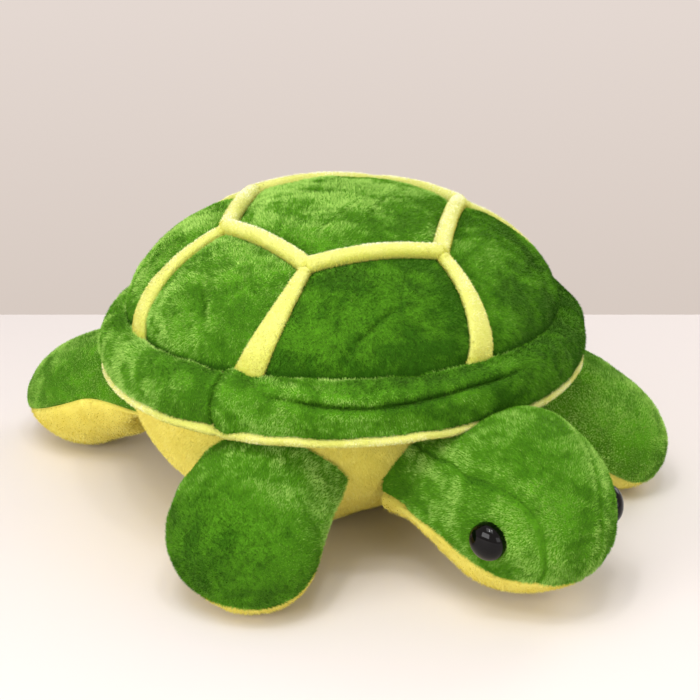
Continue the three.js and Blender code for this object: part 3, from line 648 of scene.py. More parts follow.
# Painted light is strongest on the turtle's lit right side, where an angle round the shell and this
# one add up to a whole turn
LIT_SIDE = 1.9


# ---------------------------------------------------------------- shell

# The dome's foot as an angle down from its top, its centre's height, and how far the foot tucks in
DOME_BASE, DOME_CENTRE, FOOT_TUCK = math.radians(82), 129.35, 5.0
RIM_BOTTOM, RIM_TOP, RIM_INNER_RADIUS = 110.2, 141.2, 145.1
HEXAGON_HEIGHT = 201.0
# The hexagon is sewn unevenly: where its corners are, how far out as a share, and where ribs end
CORNER_ANGLES = np.radians([5, 76, 128, 193, 252, 308])
CORNER_SHARES = np.array([1.04, 1, 1.03, 0.9, 0.92, 1.06])
RIB_FEET = np.radians([-2, 66, 126, 192, 255, 298])
# Places worked out along each strip's line, and how many points are measured at once
LINE_STEPS, DISTANCE_BLOCK = 33, 20000


def lean(p):
    """The shell leans back: a height rises by the tangent of the lean towards the head, fading to
    nothing at the belly and at the hexagon."""
    below = np.clip(p[..., 2] / size("body_height"), 0, 1)
    above = np.clip((HEXAGON_HEIGHT - p[..., 2]) / (HEXAGON_HEIGHT - RIM_TOP), 0, 1)
    tilt = math.tan(bpy.context.scene.turtle_sizes.shell_lean)
    p = p.copy()
    p[..., 2] -= tilt * p[..., 1] * np.minimum(below, above)
    return p


def dome(angle, down, lift=0.0):
    """The flattened dome at an angle round and an angle down from its top, raised by lift, with its
    foot tucked in by the sixth power of the share down."""
    tucked = lift - FOOT_TUCK * (down / DOME_BASE) ** 6
    radius = (size("shell_radius") + tucked) * np.sin(down)
    return lean(polar(angle, radius, DOME_CENTRE + (size("dome_rise") + tucked) * np.cos(down)))


def corner(i):
    """Hexagon corner i in plan."""
    i = i % 6
    radius = size("hexagon_radius") * CORNER_SHARES[i]
    return radius * np.array([np.sin(CORNER_ANGLES[i]), -np.cos(CORNER_ANGLES[i])])


def rib_angle(i, down):
    """Angle of rib i at an angle down the dome: a straight mix from its corner to its foot."""
    start = np.arcsin(size("hexagon_radius") * CORNER_SHARES[i] / size("shell_radius"))
    share = np.clip((down - start) / (DOME_BASE - start), 0, 1)
    first = CORNER_ANGLES[i]
    return first + ((RIB_FEET[i] - first + np.pi) % TURN - np.pi) * share


def strip_lines():
    """Centrelines of the six hexagon sides and the six ribs as pairs (angle, down) of arrays."""
    lines = []
    for i in range(6):
        p = lerp(corner(i), corner(i + 1), np.linspace(0, 1, LINE_STEPS)[:, None])
        radius = np.linalg.norm(p, axis=1)
        lines.append((np.arctan2(p[:, 0], -p[:, 1]), np.arcsin(radius / size("shell_radius"))))
    for i in range(6):
        start = np.arcsin(size("hexagon_radius") * CORNER_SHARES[i] / size("shell_radius"))
        down = lerp(start, DOME_BASE, np.linspace(0, 1, LINE_STEPS))
        lines.append((rib_angle(i, down), down))
    return lines


def distance_to(points, lines):
    """Distance from each point to the nearest sample of the dome lines."""
    samples = np.concatenate([dome(a, d) for a, d in lines])
    best = np.empty(len(points))
    for block in range(0, len(points), DISTANCE_BLOCK):
        part = points[block:block + DISTANCE_BLOCK]
        gap = ((part[:, None] - samples[None]) ** 2).sum(-1)
        best[block:block + DISTANCE_BLOCK] = np.sqrt(gap.min(1))
    return best


# Creases that the stuffing pulls in the shell's cloth: three points in plan, depth and width
CREASES = [
    ([(-50, -37), (-27, -29), (6, -17)], 2.0, 1.6),
    ([(-30, -46), (0, -34), (35, -12)], 1.6, 1.6),
    ([(-119, -8), (-127, -22), (-133, -34)], 1.9, 2.2),
    ([(-121, -3), (-127, -16), (-130, -28)], 1.8, 9.0),
    ([(-140, 30), (-143, 10), (-144, -7)], 1.3, 2.0),
    ([(-133, -33), (-132, -45), (-130, -56)], 1.4, 1.8),
    ([(-91, -111), (-64, -113), (-45, -112)], 1.7, 1.6),
    ([(40, -118), (70, -104), (112, -73)], 1.0, 2.2),
    ([(100, 20), (112, 44), (104, 84)], 1.2, 2.2),
    ([(-20, 112), (12, 120), (50, 116)], 1.2, 2.2),
    ([(-112, 60), (-100, 84), (-78, 100)], 1.0, 2.0),
]
# Height, distance and width of the ridge at each side of a crease, as shares of the crease's own
CREASE_RIDGE, RIDGE_DISTANCE, RIDGE_WIDTH = 0.35, 2.2, 1.3
# Painted light and shade of the nap's sheen for each panel, the top, then the six sides: lighter on
# the turtle's lit right, darkest on the front panel
PANEL_LIGHT_AND_SHADE = (0.06, -0.01, 0.06, -0.04, 0.08, 0.14, -0.2)


def crease_depth(points):
    """Sum over the creases of depth * bell(distance, width), fading at both ends, with a low ridge
    at each side. A crease is the parabola through its three points."""
    total = np.zeros(points.shape[:-1])
    for line, depth, width in CREASES:
        line = np.asarray(line, float)
        t = np.linspace(0, 1, 41)
        bend = 4 * t * (1 - t)
        bulge = line[1] - (line[0] + line[2]) / 2
        path = lerp(line[0], line[2], t[:, None]) + bulge * bend[:, None]
        gap = np.linalg.norm(points[..., None, :2] - path, axis=-1)
        nearest = gap.argmin(-1)
        gap = np.take_along_axis(gap, nearest[..., None], -1)[..., 0]
        fade = np.sin(np.pi * np.clip(t[nearest], 0.02, 0.98)) ** 0.5
        ridge = CREASE_RIDGE * bell(gap - RIDGE_DISTANCE * width, RIDGE_WIDTH * width)
        total += depth * fade * (bell(gap, width) - ridge)
    return total


def panel_of(angle, down):
    """0 inside the hexagon, where a point is on the inner side of all six edges, else the number of
    the side panel between two ribs at that height."""
    away = np.stack([np.sin(angle), -np.cos(angle)], -1)
    p = size("shell_radius") * np.sin(down)[..., None] * away
    inside = np.ones(angle.shape, bool)
    owner = np.zeros(angle.shape, int)
    for i in range(6):
        a, edge = corner(i), corner(i + 1) - corner(i)
        outward = edge[0] * (p[..., 1] - a[1]) - edge[1] * (p[..., 0] - a[0])
        centre = -edge[0] * a[1] + edge[1] * a[0]
        inside &= outward * centre > 0
        left, right = rib_angle(i, down), rib_angle((i + 1) % 6, down)
        owner[((angle - left) % TURN) < (right - left) % TURN] = i + 1
    owner[inside] = 0
    return owner


# Height of the panels' puff and how far from the strips it is reached
PUFF, PUFF_REACH = 3.4, 26
# Depth and width of the valley beside each strip
VALLEY, VALLEY_WIDTH = 3.0, 6.0
# How far the panels sink at the rim, and how high up that ends
FOOT_SINK, FOOT_REACH = 1.0, 25
# Depth and size of the broad and small dents, and how far from the strips they are reached
BROAD_DENT, BROAD_DENT_SIZE, SMALL_DENT, SMALL_DENT_SIZE, DENT_REACH = 1.2, 26, 0.5, 9, 15
# Half width of the strip that covers a seam
COVERED = 5.0


def shell_panels():
    """Dome panels: the dome raised by a puff that grows with the distance from the strips and
    lowered in a narrow valley beside each strip, with soft creases."""
    u, v = grid(*GRIDS["shell"])
    angle, down = u * TURN, v * DOME_BASE
    flat = dome(angle, down)
    gap = distance_to(flat.reshape(-1, 3), strip_lines()).reshape(u.shape)
    foot = (1 - v) * DOME_BASE * size("shell_radius") * 0.8
    puff = PUFF * smooth(gap / PUFF_REACH) - VALLEY * bell(gap, VALLEY_WIDTH)
    puff = puff + FOOT_SINK * smooth(foot / FOOT_REACH) - FOOT_SINK
    squeezed = flat * np.array([1.0, 1.0, 0.5])
    dents = (BROAD_DENT * noise(squeezed, BROAD_DENT_SIZE, 3)
             + SMALL_DENT * noise(flat, SMALL_DENT_SIZE, 1))
    free = smooth(gap / DENT_REACH)
    points = dome(angle, down, puff + (dents - crease_depth(flat)) * free)
    skin = Skin(points, (0, 0, DOME_CENTRE), first_pole=True)
    skin.seam = (gap - COVERED).reshape(-1)
    # Painted light on the shell's top and its lit right side, painted shade in the creases with
    # painted light on their ridges, painted light and shade for each panel, and painted shade at
    # the foot under the rim's edge
    side = 0.12 * np.cos(angle + LIT_SIDE) * np.sin(down) + 0.3 * (np.cos(down) - 0.72)
    cut = np.array(PANEL_LIGHT_AND_SHADE)[panel_of(angle, down)]
    painted_crease_shade = 0.07 * crease_depth(flat) * free
    skin.tone = (side + cut - painted_crease_shade - 0.6 * bell(foot - 2, 4)).reshape(-1)
    owner = panel_of(centres(u) * TURN, centres(v) * DOME_BASE)
    names = ["shell_top_panel"] + [f"shell_side_panel_{i}" for i in range(1, 7)]
    for k, name in enumerate(names):
        nodes = [name] + (["shell_stuffing"] if k == 0 else [])
        dress(f"soft_{name}", skin.part(owner == k), "green", nodes, on_body, SHELL_LAY)


# Length in mm over which a strip's ends round off, and its width there as a share
STRIP_ROUNDING, STRIP_END_WIDTH = 4.0, 0.6
# Thickness, sink, overlap at both ends, power of the section, and place of the fold at the ends
HEXAGON_ROLL = dict(thickness=10.6, sink=3.4, ends=(3.0, 3.0), power=0.92, fold=0)
RIB_ROLL = dict(thickness=7.4, sink=2.6, ends=(3.0, 6.0), power=0.8, fold=5.6)
# Width along a side of the hexagon and along a rib, as shares of their full width
HEXAGON_WIDTHS = np.array([1.04, 1, 1.04])
RIB_WIDTHS = np.array([0.38, 0.49, 0.64, 0.82, 0.96])


def signed_power(x, power):
    """x raised to a power with its sign kept, which makes a circle's section a superellipse."""
    return np.sign(x) * np.abs(x) ** power


def strip_skin(line, widths, thickness, sink, ends, power, fold):
    """A roll of cloth along a dome line: a superellipse section of changing width, rounded over at
    both ends, its middle sunk under the panels' seams. A line of painted shade marks the fold at
    its ends, and painted light lightens its upper flank."""
    rows, columns = GRIDS["strip"]
    angle, down = line
    base = dome(angle, down)
    steps = np.concatenate([[0], np.cumsum(np.linalg.norm(np.diff(base, axis=0), axis=1))])
    length = steps[-1]
    along = lerp(-ends[0], length + ends[1], np.linspace(0, 1, rows))
    index = np.clip(along, 0, length)

    def on_line(values):
        return np.stack([np.interp(index, steps, values[:, k]) for k in range(3)], -1)

    up = unit(on_line(dome(angle, down, 1.0) - base))
    tangent = unit(on_line(unit(np.gradient(base, axis=0))))
    centre = on_line(base) + tangent * (along - index)[:, None]
    side = unit(np.cross(tangent, up))
    end = np.minimum(along + ends[0], length + ends[1] - along)
    round_off = np.sqrt(np.clip(1 - (1 - np.clip(end / STRIP_ROUNDING, 0, 1)) ** 2, 0, 1))
    turn = np.linspace(0, TURN, columns)
    across, rise = signed_power(np.cos(turn), power), signed_power(np.sin(turn), power)
    share = np.clip(along / length, 0, 1)
    width = np.interp(share, np.linspace(0, 1, len(widths)), widths)
    half = width / 2 * lerp(STRIP_END_WIDTH, 1, round_off)
    tall = thickness / 2 * round_off
    points = (centre[:, None] + side[:, None] * (across[None] * half[:, None])[..., None]
              + up[:, None] * (rise[None] * tall[:, None] + tall[:, None] - sink)[..., None])
    points += up[:, None] * (0.35 * noise(points, 11, 2))[..., None]
    skin = Skin(points, centre[:, None])
    # Painted light: the upper flank of a roll is lighter than its lower one, and painted shade
    # darkens the fold at each end
    painted_fold_shade = 0.5 * bell(end - ends[0] - fold, 1.3)
    skin.tone = 0.95 * (skin.normals[:, 2] - 0.52) - np.repeat(painted_fold_shade, columns)
    skin.patchy = STRIP_PATCHY
    return skin


def shell_strips():
    """Six rolls round the hexagon and six ribs that widen downwards as far as under the rim."""
    lines = strip_lines()
    for i in range(6):
        roll = strip_skin(lines[i], size("hexagon_roll") * HEXAGON_WIDTHS, **HEXAGON_ROLL)
        rib = strip_skin(lines[6 + i], size("rib_foot") * RIB_WIDTHS, **RIB_ROLL)
        for name, skin in ((f"hexagon_strip_{i + 1}", roll), (f"rib_strip_{i + 1}", rib)):
            dress(f"soft_{name}", skin, "strip", [name], on_body, DOWN)


# ---------------------------------------------------------------- rim and lip

# Angles in degrees where the rim's two lengths are joined; the last is the first again
RIM_JOINTS = (-68, 112, 292)
# Section of the rim as shares of its width outwards and of its height
RIM_SECTION = [(0.02, 1.0), (0.42, 1.02), (0.82, 0.83), (1.0, 0.5), (0.97, 0.2), (0.8, -0.02),
               (0.2, 0.0), (0, 0.5)]
# The long fold in the front of the rim: angle against share round its section
RIM_FOLD = [(-62, 0.23), (-51, 0.262), (-45, 0.29), (-39, 0.315), (-32, 0.325), (-26, 0.317),
            (-19, 0.298), (-9, 0.268), (6, 0.25)]
# Where the fold starts and ends, and over how many degrees it fades
FOLD_START, FOLD_END, FOLD_FADE = -60, 12, 14
FOLD_DEPTH, FOLD_WIDTH = 4.4, 0.019
# Distance from a joint in mm counted for each degree: a little over the true 2.9, for a fine line
JOINT_SEAM = 3.2
# Puckers across the rim: angle, share round the section, depth and slope
RIM_PUCKERS = [(-73, 0.2, 1.6, 8), (-77, 0.38, 1.3, -12), (-84, 0.26, 1.8, 18),
               (-92, 0.2, 1.5, -16), (-101, 0.3, 1.5, 20), (-112, 0.24, 1.2, -14),
               (-58, 0.4, 1.1, 20), (16, 0.22, 1.2, -20),
               (26, 0.3, 1.4, 16), (37, 0.2, 1.2, 14), (49, 0.28, 1.1, -18), (64, 0.22, 1.3, 12),
               (84, 0.3, 1.2, -16), (103, 0.2, 1.4, 14), (121, 0.3, 1.4, -14), (141, 0.24, 1.1, 18),
               (163, 0.28, 1.3, -16), (186, 0.22, 1.2, 16), (207, 0.3, 1.2, -18),
               (228, 0.24, 1.2, 14)]


def rim():
    """Rim band: a closed section swept round the shell, pushed out along its normals by gathers and
    broad noise and in by a long fold in front, small puckers and a valley at each joint."""
    rows, columns = GRIDS["rim"]
    curve = closed_curve(RIM_SECTION, columns)
    u, v = grid(rows, columns)
    angle = lerp(RIM_JOINTS[0], RIM_JOINTS[2], v)
    radius = lerp(RIM_INNER_RADIUS, size("rim_radius"), curve[:, 0][None] + 0 * angle)
    height = lerp(RIM_BOTTOM, RIM_TOP, curve[:, 1][None] + 0 * angle)
    base = lean(polar(np.radians(angle), radius, height))
    inside = base.mean(1, keepdims=True)
    outward = Skin(base, inside).normals.reshape(base.shape)
    fold_at = np.interp(angle, *np.transpose(RIM_FOLD))
    fold = smooth((angle - FOLD_START) / FOLD_FADE) * smooth((FOLD_END - angle) / FOLD_FADE)
    ridge = 1.5 * bell(u - fold_at + 0.075, 0.045) + 0.7 * bell(u - fold_at - 0.06, 0.04)
    push = fold * (ridge - FOLD_DEPTH * bell(u - fold_at, FOLD_WIDTH))
    for joint in RIM_JOINTS:
        # A sharp valley, a plump length after it and a flatter one before it
        past = angle - joint
        push -= 6.0 * bell(past, 0.5) - 2.8 * bell(past - 3.4, 2.6) + 2.0 * bell(past + 3, 4)
    for at, across, depth, slope in RIM_PUCKERS:
        push -= depth * bell(angle - at - slope * (u - 0.25), 1.1) * bell(u - across, 0.09)
    broad = 1.3 * noise(base * np.array([1, 1, 0.6]), 21, 2) + 0.6 * noise(base, 9, 0)
    gathers = 0.7 * noise(np.stack([angle * 1.0, 0 * angle, u * 16], -1), 3.2, 1)
    push = push + broad + gathers * bell(np.minimum(abs(u - 0.08), abs(u - 0.46)), 0.1)
    skin = Skin(base + outward * push[..., None], inside)
    from_joint = np.min([abs(angle - joint) for joint in RIM_JOINTS], axis=0)
    skin.seam = (from_joint * JOINT_SEAM).reshape(-1)
    # Painted light on the ridge over the fold, on the top edge and on the turtle's lit right side,
    # and painted shade in the fold and on the side away from the light
    light = 0.16 * ridge / 1.5 - 0.4 * bell(u - fold_at, 0.022)
    side = 0.26 * np.cos(np.radians(angle) + LIT_SIDE) - 0.17
    skin.tone = (fold * light + side + 0.34 * bell(u - 0.03, 0.03) + 0.04).reshape(-1)
    front = centres(angle) < RIM_JOINTS[1]
    for name, keep in (("rim_band_front", front), ("rim_band_rear", ~front)):
        dress(f"soft_{name}", skin.part(keep), "green", [name], on_body, DOWN)


# Angles in degrees where the lip's two lengths are joined; the last is the first again
LIP_JOINTS = (-67, 2, 293)
LIP_MIDDLE_HEIGHT, LIP_HALF_HEIGHT = 107.2, 4.3


def rim_lip():
    """Rolled lip under the rim: a flattened tube swept round the shell, thicker on the turtle's
    right than at its head, drawn in at each joint."""
    u, v = grid(*GRIDS["lip"])
    turn = u * TURN
    angle = lerp(LIP_JOINTS[0], LIP_JOINTS[2], v)
    wide = size("lip_width")
    swell = 1 + 0.16 * smooth((abs(angle + 88) - 50) / -28)
    for joint in LIP_JOINTS:
        swell = swell - 0.34 * bell(angle - joint, 0.8) + 0.1 * bell(abs(angle - joint) - 2.6, 1.6)
    radius = size("rim_radius") - 0.2 - wide / 2 + np.cos(turn) * wide / 2
    height = LIP_MIDDLE_HEIGHT + np.sin(turn) * LIP_HALF_HEIGHT * swell
    points = lean(polar(np.radians(angle), radius, height))
    points[..., 2] += 0.7 * noise(points, 17, 1)
    skin = Skin(points, points.mean(1, keepdims=True))
    # Painted light on the lip's upper side and painted shade on its lower side
    skin.tone = (0.25 * np.sin(turn) + 0.1).reshape(-1)
    right = centres(angle) < LIP_JOINTS[1]
    for name, keep in (("rim_lip_right", right), ("rim_lip_left", ~right)):
        dress(f"soft_{name}", skin.part(keep), "strip", [name], on_body, DOWN)


# ---------------------------------------------------------------- body

BELLY_FLAT_RADIUS, BELLY_SEAM_HEIGHT, BODY_ROUNDNESS = 40, 42, 1.83
# Share of the body's rows that lie in the flat spot, how the rest crowd at the floor, and how far
# its edge reaches up behind the lip
FLAT_ROWS, WALL_CROWDING, BEHIND_LIP = 0.12, 1.6, 3
# Half angle over which the front of the body is drawn in
PINCH_ANGLE = np.radians(50)


def body_radius(angle, height):
    """Superellipse bowl drawn in at the front by a fourth-power bell of the angle, most of all half
    way up the belly and near the floor."""
    up = np.clip((size("body_height") - height) / size("body_height"), 0, 1)
    share = (1 - up ** BODY_ROUNDNESS) ** (1 / BODY_ROUNDNESS)
    full = lerp(BELLY_FLAT_RADIUS, size("body_radius"), share)
    belly = 0.1 * np.sin(np.pi * np.clip(height / BELLY_SEAM_HEIGHT, 0, 1))
    pinch = 0.17 + belly + 0.2 * bell(height, 16)
    turned = np.arctan2(np.sin(angle), np.cos(angle)) / PINCH_ANGLE
    return full * (1 - pinch * np.exp(-(turned ** 4)))


def body():
    """Bowl of the body: side wall above the seam and belly below it, with soft dents, a pressed-in
    seam and a flat spot underneath."""
    u, v = grid(*GRIDS["body"])
    angle = u * TURN
    share = np.clip((v - FLAT_ROWS) / (1 - FLAT_ROWS), 0, 1)
    height = (size("body_height") + BEHIND_LIP) * share ** WALL_CROWDING
    radius = body_radius(angle, height) * np.clip(v / FLAT_ROWS, 0, 1)
    flat = lean(polar(angle, radius, height))
    dents = 1.2 * noise(flat, 34, 0) + 0.5 * noise(flat, 13, 2)
    seam = -1.6 * bell(height - BELLY_SEAM_HEIGHT, 2.2)
    centre = np.array([0, 0, size("body_height")])
    points = flat + unit(flat - centre) * ((dents + seam) * smooth(height / 12))[..., None]
    skin = Skin(points, centre, first_pole=True)
    skin.seam = abs(height - BELLY_SEAM_HEIGHT).reshape(-1)
    low = centres(height) < BELLY_SEAM_HEIGHT
    nodes = ["belly_panel", "body_stuffing"]
    dress("soft_belly_panel", skin.part(low), "yellow", nodes, on_body, DOWN)
    dress("soft_body_side_wall", skin.part(~low), "yellow", ["body_side_wall"], on_body, DOWN)


# ---------------------------------------------------------------- flippers

# Width at the root and at its widest, thickness above and below the middle line, height of the root
# above the table, and angle from the top to the seam at each side, in mm and degrees
FRONT = dict(root=106, width=101, top=36, bottom=41, height=68, seam=108)
REAR = dict(root=92, width=102, top=34, bottom=44, height=69, seam=90)
# Angle from the head, droop, length, sweep towards the head, curl up, the side it is on, roll of
# the seam, distance of the root from the middle, and painted light and shade: over the whole
# flipper, towards its tip, on its inner flank
FLIPPERS = {
    "flipper_front_right": dict(
        FRONT, angle=-60, pitch=39, length=75, sweep=8, curl=-9, side=-1, roll=0,
        distance=151.98, tone=0.06, outer=-0.3, inner=-0.1),
    "flipper_front_left": dict(
        FRONT, angle=62, pitch=36, length=87, sweep=24, curl=-2, side=1, roll=12,
        distance=152.42, tone=0.27, outer=0.02, inner=0),
    "flipper_rear_right": dict(
        REAR, angle=-152, pitch=22, length=112, sweep=-14, curl=-4, side=-1, roll=0,
        distance=154.67, tone=0.3, outer=0, inner=0),
    "flipper_rear_left": dict(
        REAR, angle=152, pitch=22, length=112, sweep=-14, curl=-4, side=1, roll=0,
        distance=154.67, tone=0.08, outer=0, inner=0),
}
# How far the hidden root reaches into the body and hangs down there
ROOT_REACH, ROOT_HANG = 30, 26
# Two places along the flipper, before and after its joint
FLIPPER_BEND = (-24, 26)
# Distance in mm that counts for a radian round the section when it is measured to the seam
SEAM_ARM = 42
FLOOR_CLEARANCE = 1.0


def limb_frame(f):
    """Origin and the three axes of a flipper: out along it, to its left and up from it."""
    a, p = math.radians(f["angle"]), math.radians(f["pitch"])
    out = np.array([math.sin(a), -math.cos(a), 0])
    left = np.array([math.cos(a), math.sin(a), 0])
    up = np.array([0, 0, 1.0])
    origin = out * f["distance"] + up * f["height"]
    return origin, out * math.cos(p) - up * math.sin(p), left, out * math.sin(p) + up * math.cos(p)


def flipper_surface(f, out, turn):
    """Mitten shape: width and thickness swell from the root, then round off as ellipses at the tip,
    and the hidden root sinks into the body."""
    share = np.clip(out / f["length"], 0, 1)
    swell = smooth((out + 14) / (f["length"] / 2 + 14))
    width = lerp(f["root"], f["width"], swell) / 2 * nose(share, 0.42)
    root_top = lerp(25, 33, smooth((out + ROOT_REACH) / ROOT_REACH))
    top = lerp(root_top, f["top"], smooth(out / 22))
    low = lerp(16, f["bottom"], smooth((out + 8) / 30))
    thick = np.where(np.cos(turn) > 0, top, low) * nose(share, 0.45)
    root = smooth((34 - out) / 60)
    across = -f["sweep"] * share * f["side"] + width * np.sin(turn) * (1 - 0.1 * root)
    hang = ROOT_HANG * root * np.sin(turn) ** 2
    return across, f["curl"] * share ** 2 + thick * np.cos(turn) - hang


def flippers():
    """Each flipper: a green top and a yellow underside that meet in a seam round the edge, which is
    pressed in, with soft dents between and a shallow gather where it leaves the body."""
    for name, f in FLIPPERS.items():
        origin, ax, ay, az = limb_frame(f)
        u, v = grid(*GRIDS["flipper"])
        out = lerp(-ROOT_REACH, f["length"], crowded(v))
        first = -math.radians(f["seam"] + f["roll"] * f["side"])
        last = math.radians(f["seam"] - f["roll"] * f["side"])
        turn = lerp(first, first + TURN, u)
        y, z = flipper_surface(f, out, turn)
        flat = origin + out[..., None] * ax + y[..., None] * ay + z[..., None] * az
        centre = origin + ax * f["length"] / 2
        normals = Skin(flat, centre, last_pole=True).normals.reshape(flat.shape)
        edge = np.min([abs(turn - seam) for seam in (first, last, first + TURN)], axis=0) * SEAM_ARM
        dents = 1.3 * noise(flat, 30, 1) + 0.5 * noise(flat, 12, 3)
        ripple = 0.8 * np.sin(turn * 9 + 2 * noise(flat, 20, 2)) * bell(out - 4, 11)
        push = (dents + ripple) * smooth(edge / 20) - 1.8 * bell(edge, 1.8)
        points = flat + normals * push[..., None]
        points[..., 2] = np.maximum(points[..., 2], FLOOR_CLEARANCE)
        skin = Skin(points, centre, last_pole=True)
        skin.seam = (edge * nose(np.clip(out / f["length"], 0, 0.98), 0.45)).reshape(-1)
        # Painted light or shade over the whole flipper, painted shade towards the tip and on the
        # inner flank, and lighter in a band beside the seam
        share = np.clip(out / f["length"], 0, 1)
        flank = np.clip(np.sin(turn) * f["side"], -1, 0)
        painted_shade = f["outer"] * smooth(share / 0.55) + f["inner"] * flank
        skin.tone = f["tone"] + painted_shade.reshape(-1) + 0.14 * bell(skin.seam - 4, 4)
        skin.patchy = LIMB_PATCHY
        middle = centres(turn)
        top = (middle > first) & (middle < last)
        start, end = (tuple((origin + ax * along) * MM) for along in FLIPPER_BEND)

        def bend(piece, name=name, start=start, end=end):
            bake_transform(piece)

        nodes = [f"{name}_top", f"{name}_stuffing"]
        dress(f"soft_{name}_top", skin.part(top), "green", nodes, bend, -ax)
        dress(f"soft_{name}_bottom", skin.part(~top), "yellow", [f"{name}_bottom"], bend, -ax)


# ---------------------------------------------------------------- head

HEAD_PIVOT, HEAD_LIFT = np.array([0, -131.4, 57]), math.radians(4)
# Thickness above and below the middle line, sway to one side, and reach of the neck into the body
HEAD_TOP, HEAD_BOTTOM, HEAD_SWAY, HEAD_ROOT = 62, 57.5, 10, 28
# Widening of the cheeks under the middle line: how far, where along the head, and over what length
JOWL, JOWL_AT, JOWL_LENGTH = 7.5, 18, 26
# Half width of the strip over the crown in mm, against share along the head
CROWN_STATIONS = ([-0.16, 0, 0.2, 0.47, 0.64, 0.76, 0.86, 1],
                  [31, 38, 42.5, 39.6, 34, 28.6, 23.4, 15])
# How far the crown strip was sewn towards the turtle's right, in mm
CROWN_SHIFT = 4.8
# Depth of the chin seam as a share of the chin's depth, against share along the head
CHIN_STATIONS = ([-0.14, 0.05, 0.215, 0.33, 0.42, 0.515, 0.61, 0.7, 0.78, 0.85],
                 [0.05, 0.087, 0.139, 0.24, 0.36, 0.473, 0.565, 0.586, 0.6, 0.66])


def head_frame():
    """Axes of the head: out along it, to its left and up."""
    out = np.array([0, -math.cos(HEAD_LIFT), math.sin(HEAD_LIFT)])
    up = np.array([0, math.sin(HEAD_LIFT), math.cos(HEAD_LIFT)])
    return out, np.array([1.0, 0, 0]), up


def head_root(out):
    """How much a place belongs to the hidden neck, 1 deep inside to 0 on the head."""
    return smooth((20 - out) / 48)


def head_section(out, turn):
    """Egg shape round a straight line: width rounds off early, crown and chin later, and the neck
    narrows and hangs into the body."""
    share = np.clip(out / size("head_length"), 0, 1)
    round_off = np.where(np.sin(turn) > 0, nose(share, 0.36), nose(share, 0.26))
    width = size("head_width") / 2 * round_off
    root = head_root(out)
    crown = lerp(44, 50, smooth((out + HEAD_ROOT) / HEAD_ROOT))
    top = lerp(crown, HEAD_TOP, smooth(out / 54)) * nose(share, 0.33)
    low = lerp(20, HEAD_BOTTOM, smooth((out + 6) / 60)) * nose(share, 0.31)
    thick = np.where(np.cos(turn) > 0, top, low)
    below = np.clip(-np.cos(turn), 0, 1)
    jowl = JOWL * bell(out - JOWL_AT, JOWL_LENGTH) * below ** 0.5
    across = (width * (1 - 0.07 * root) + jowl) * np.sin(turn)
    return across, thick * np.cos(turn) - 9 * root * np.sin(turn) ** 2


def swayed(out, across):
    """The head's middle line sways to the turtle's right by the square of the share along it, and
    its sections turn with that line."""
    share = np.clip(out / size("head_length"), 0, 1)
    lead = across * share * 2 * HEAD_SWAY / size("head_length")
    return out + lead, across - HEAD_SWAY * share ** 2


def head_point(out, turn):
    """Point on the bare head at a distance out and an angle round, with the section's two
    measures and the distance ahead once it has swayed."""
    ax, ay, az = head_frame()
    across, up = head_section(out, turn)
    ahead, moved = swayed(out, across)
    point = HEAD_PIVOT + ahead[..., None] * ax + moved[..., None] * ay + up[..., None] * az
    return point, across, up, ahead


def crown_half(out, up):
    """Half width of the crown's strip at a distance along the head, narrower under the nose."""
    over = np.interp(out / size("head_length"), *CROWN_STATIONS)
    return over * (1 - 0.35 * smooth(-up / 34))


def chin_height(out):
    """Height of the seam between green and yellow along the head."""
    return -HEAD_BOTTOM * np.interp(out / size("head_length"), *CHIN_STATIONS)


